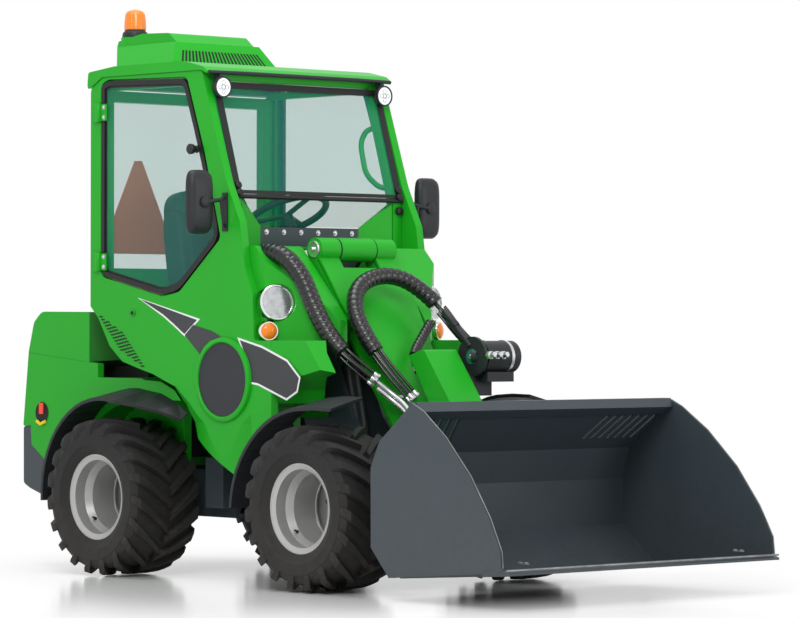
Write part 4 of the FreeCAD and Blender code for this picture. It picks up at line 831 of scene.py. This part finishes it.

# ---------------------------------------------------------------- rear switch, hook and pivot caps
# The recess is a thin near-black disc on the body side: painted shade of the hollow round the switch.
recess = Shape()
recess.turned([(0, 44), (1.2, 44), (1.2, 4)], (REAR_SWITCH[0], -REAR_SIDE - 0.2, REAR_SWITCH[1]), (0, -1, 0), 32)
recess.make("rear_recess", "rear_frame", painted_shade_black)
switch = Shape()
switch.block(fx(-1864), fx(-1838), -438, -431, 630, 676)
# The switch carries the red material's glow: painted light, not a lamp.
switch.make("rear_switch", "rear_frame", red, bevel=2)
hook = Shape()
hook.tube([(fx(-1880), -434, 600), (fx(-1851), -440, 588), (fx(-1822), -434, 600)], 7, 12)
hook.make("rear_hook", "rear_frame", yellow)
sleeve = Shape()
sleeve.tube([(BOOM_PIVOT_X, -89, BOOM_PIVOT_Z), (BOOM_PIVOT_X, 89, BOOM_PIVOT_Z)], BOOM_HUB_RADIUS + 1.2, 40)
sleeve.make("pivot_sleeve", "front_frame", green)
ends = Shape()
ends.turned([(0, 40), (2, 46), (9, 46), (11, 40), (11, 20), (16, 18)], (x, y + 110.3, z), (0, 1, 0), 40)
ends.turned([(0, 64.5), (14, 64.5)], (x, y + 60, z), (0, 1, 0), 48)
ends.make("connector_end", "telescope", zinc)
pins = Shape()
for side in (-1, 1):
    pins.turned([(0, 34), (5, 34), (8, 30)], (BOOM_PIVOT_X, side * BOOM_CHEEK_Y, BOOM_PIVOT_Z), (0, side, 0), 32)
    pins.bolt((BOOM_PIVOT_X, side * (BOOM_CHEEK_Y + 7.7), BOOM_PIVOT_Z), (0, side, 0), 10, 8)
pins.make("boom_pivot_caps", "boom", zinc, smooth=30)

# ---------------------------------------------------------------- light, floor and camera
world = bpy.data.worlds.new("studio")
bpy.context.scene.world = world
world.use_nodes = True
nodes, links = world.node_tree.nodes, world.node_tree.links
sky = nodes["Background"]
sky.inputs["Color"].default_value = (1, 1, 1, 1)
path = nodes.new("ShaderNodeLightPath")
shown = path.outputs["Is Camera Ray"]
for kind in ("Is Transmission Ray", "Is Glossy Ray"):
    either = nodes.new("ShaderNodeMath")
    either.operation = "MAXIMUM"
    links.new(path.outputs[kind], either.inputs[0])
    links.new(shown, either.inputs[1])
    shown = either.outputs[0]
strength = nodes.new("ShaderNodeMapRange")
strength.inputs["To Min"].default_value = 0.62
strength.inputs["To Max"].default_value = 1.0
links.new(shown, strength.inputs["Value"])
links.new(strength.outputs[0], sky.inputs["Strength"])


def area(name, place, aim, size, power):
    """Rectangular lamp, in metres and watts."""
    data = bpy.data.lights.new(name, "AREA")
    data.shape = "RECTANGLE"
    data.size, data.size_y = size
    data.energy = power
    data.specular_factor = 0.2
    obj = bpy.data.objects.new(name, data)
    obj.location = place
    obj.rotation_euler = (Vector(aim) - Vector(place)).to_track_quat("-Z", "Y").to_euler()
    bpy.context.scene.collection.objects.link(obj)


area("key", (3.5, -4.5, 4.6), (0, 0, 0.9), (2.4, 2.4), 190)
area("top", (-0.6, -0.6, 5.2), (-0.2, 0, 1.0), (3.4, 2.4), 95)
area("side", (5.5, 2.2, 2.2), (0, 0, 1.0), (1.8, 2.6), 70)

FLOOR_REACH, FLOOR_DROP = 40, 0.001
floor_mesh = bpy.data.meshes.new("floor")
floor_corners = [(x * FLOOR_REACH, y * FLOOR_REACH, -FLOOR_DROP) for x, y in ((-1, -1), (1, -1), (1, 1), (-1, 1))]
floor_mesh.from_pydata(floor_corners, [], [(0, 1, 2, 3)])
floor = bpy.data.objects.new("floor", floor_mesh)
bpy.context.scene.collection.objects.link(floor)
ground = bpy.data.materials.new("floor_white")
ground.use_nodes = True
nodes, links = ground.node_tree.nodes, ground.node_tree.links
shader = nodes["Principled BSDF"]
shader.inputs["Base Color"].default_value = (0.93, 0.93, 0.93, 1)
shader.inputs["Roughness"].default_value = 0.16
place = nodes.new("ShaderNodeTexCoord")
far = nodes.new("ShaderNodeVectorMath")
far.operation = "LENGTH"
links.new(place.outputs["Object"], far.inputs[0])
fade = nodes.new("ShaderNodeMapRange")
fade.interpolation_type = "SMOOTHSTEP"
fade.inputs["From Min"].default_value = 1.0
fade.inputs["From Max"].default_value = 2.6
links.new(far.outputs["Value"], fade.inputs["Value"])
bright = nodes.new("ShaderNodeEmission")
bright.inputs["Color"].default_value = (1, 1, 1, 1)
blend = nodes.new("ShaderNodeMixShader")
links.new(fade.outputs[0], blend.inputs[0])
links.new(shader.outputs[0], blend.inputs[1])
links.new(bright.outputs[0], blend.inputs[2])
links.new(blend.outputs[0], nodes["Material Output"].inputs["Surface"])
floor_mesh.materials.append(ground)

camera_data = bpy.data.cameras.new("camera")
camera_data.lens = 168.3
camera_data.sensor_width = 36
camera = bpy.data.objects.new("camera", camera_data)
camera.location = (10.9757, -9.7768, 1.0150)
camera.rotation_euler = (radians(90.193), radians(-0.094), radians(47.611))
bpy.context.scene.collection.objects.link(camera)
bpy.context.scene.camera = camera
bpy.context.scene.view_settings.view_transform = "Standard"
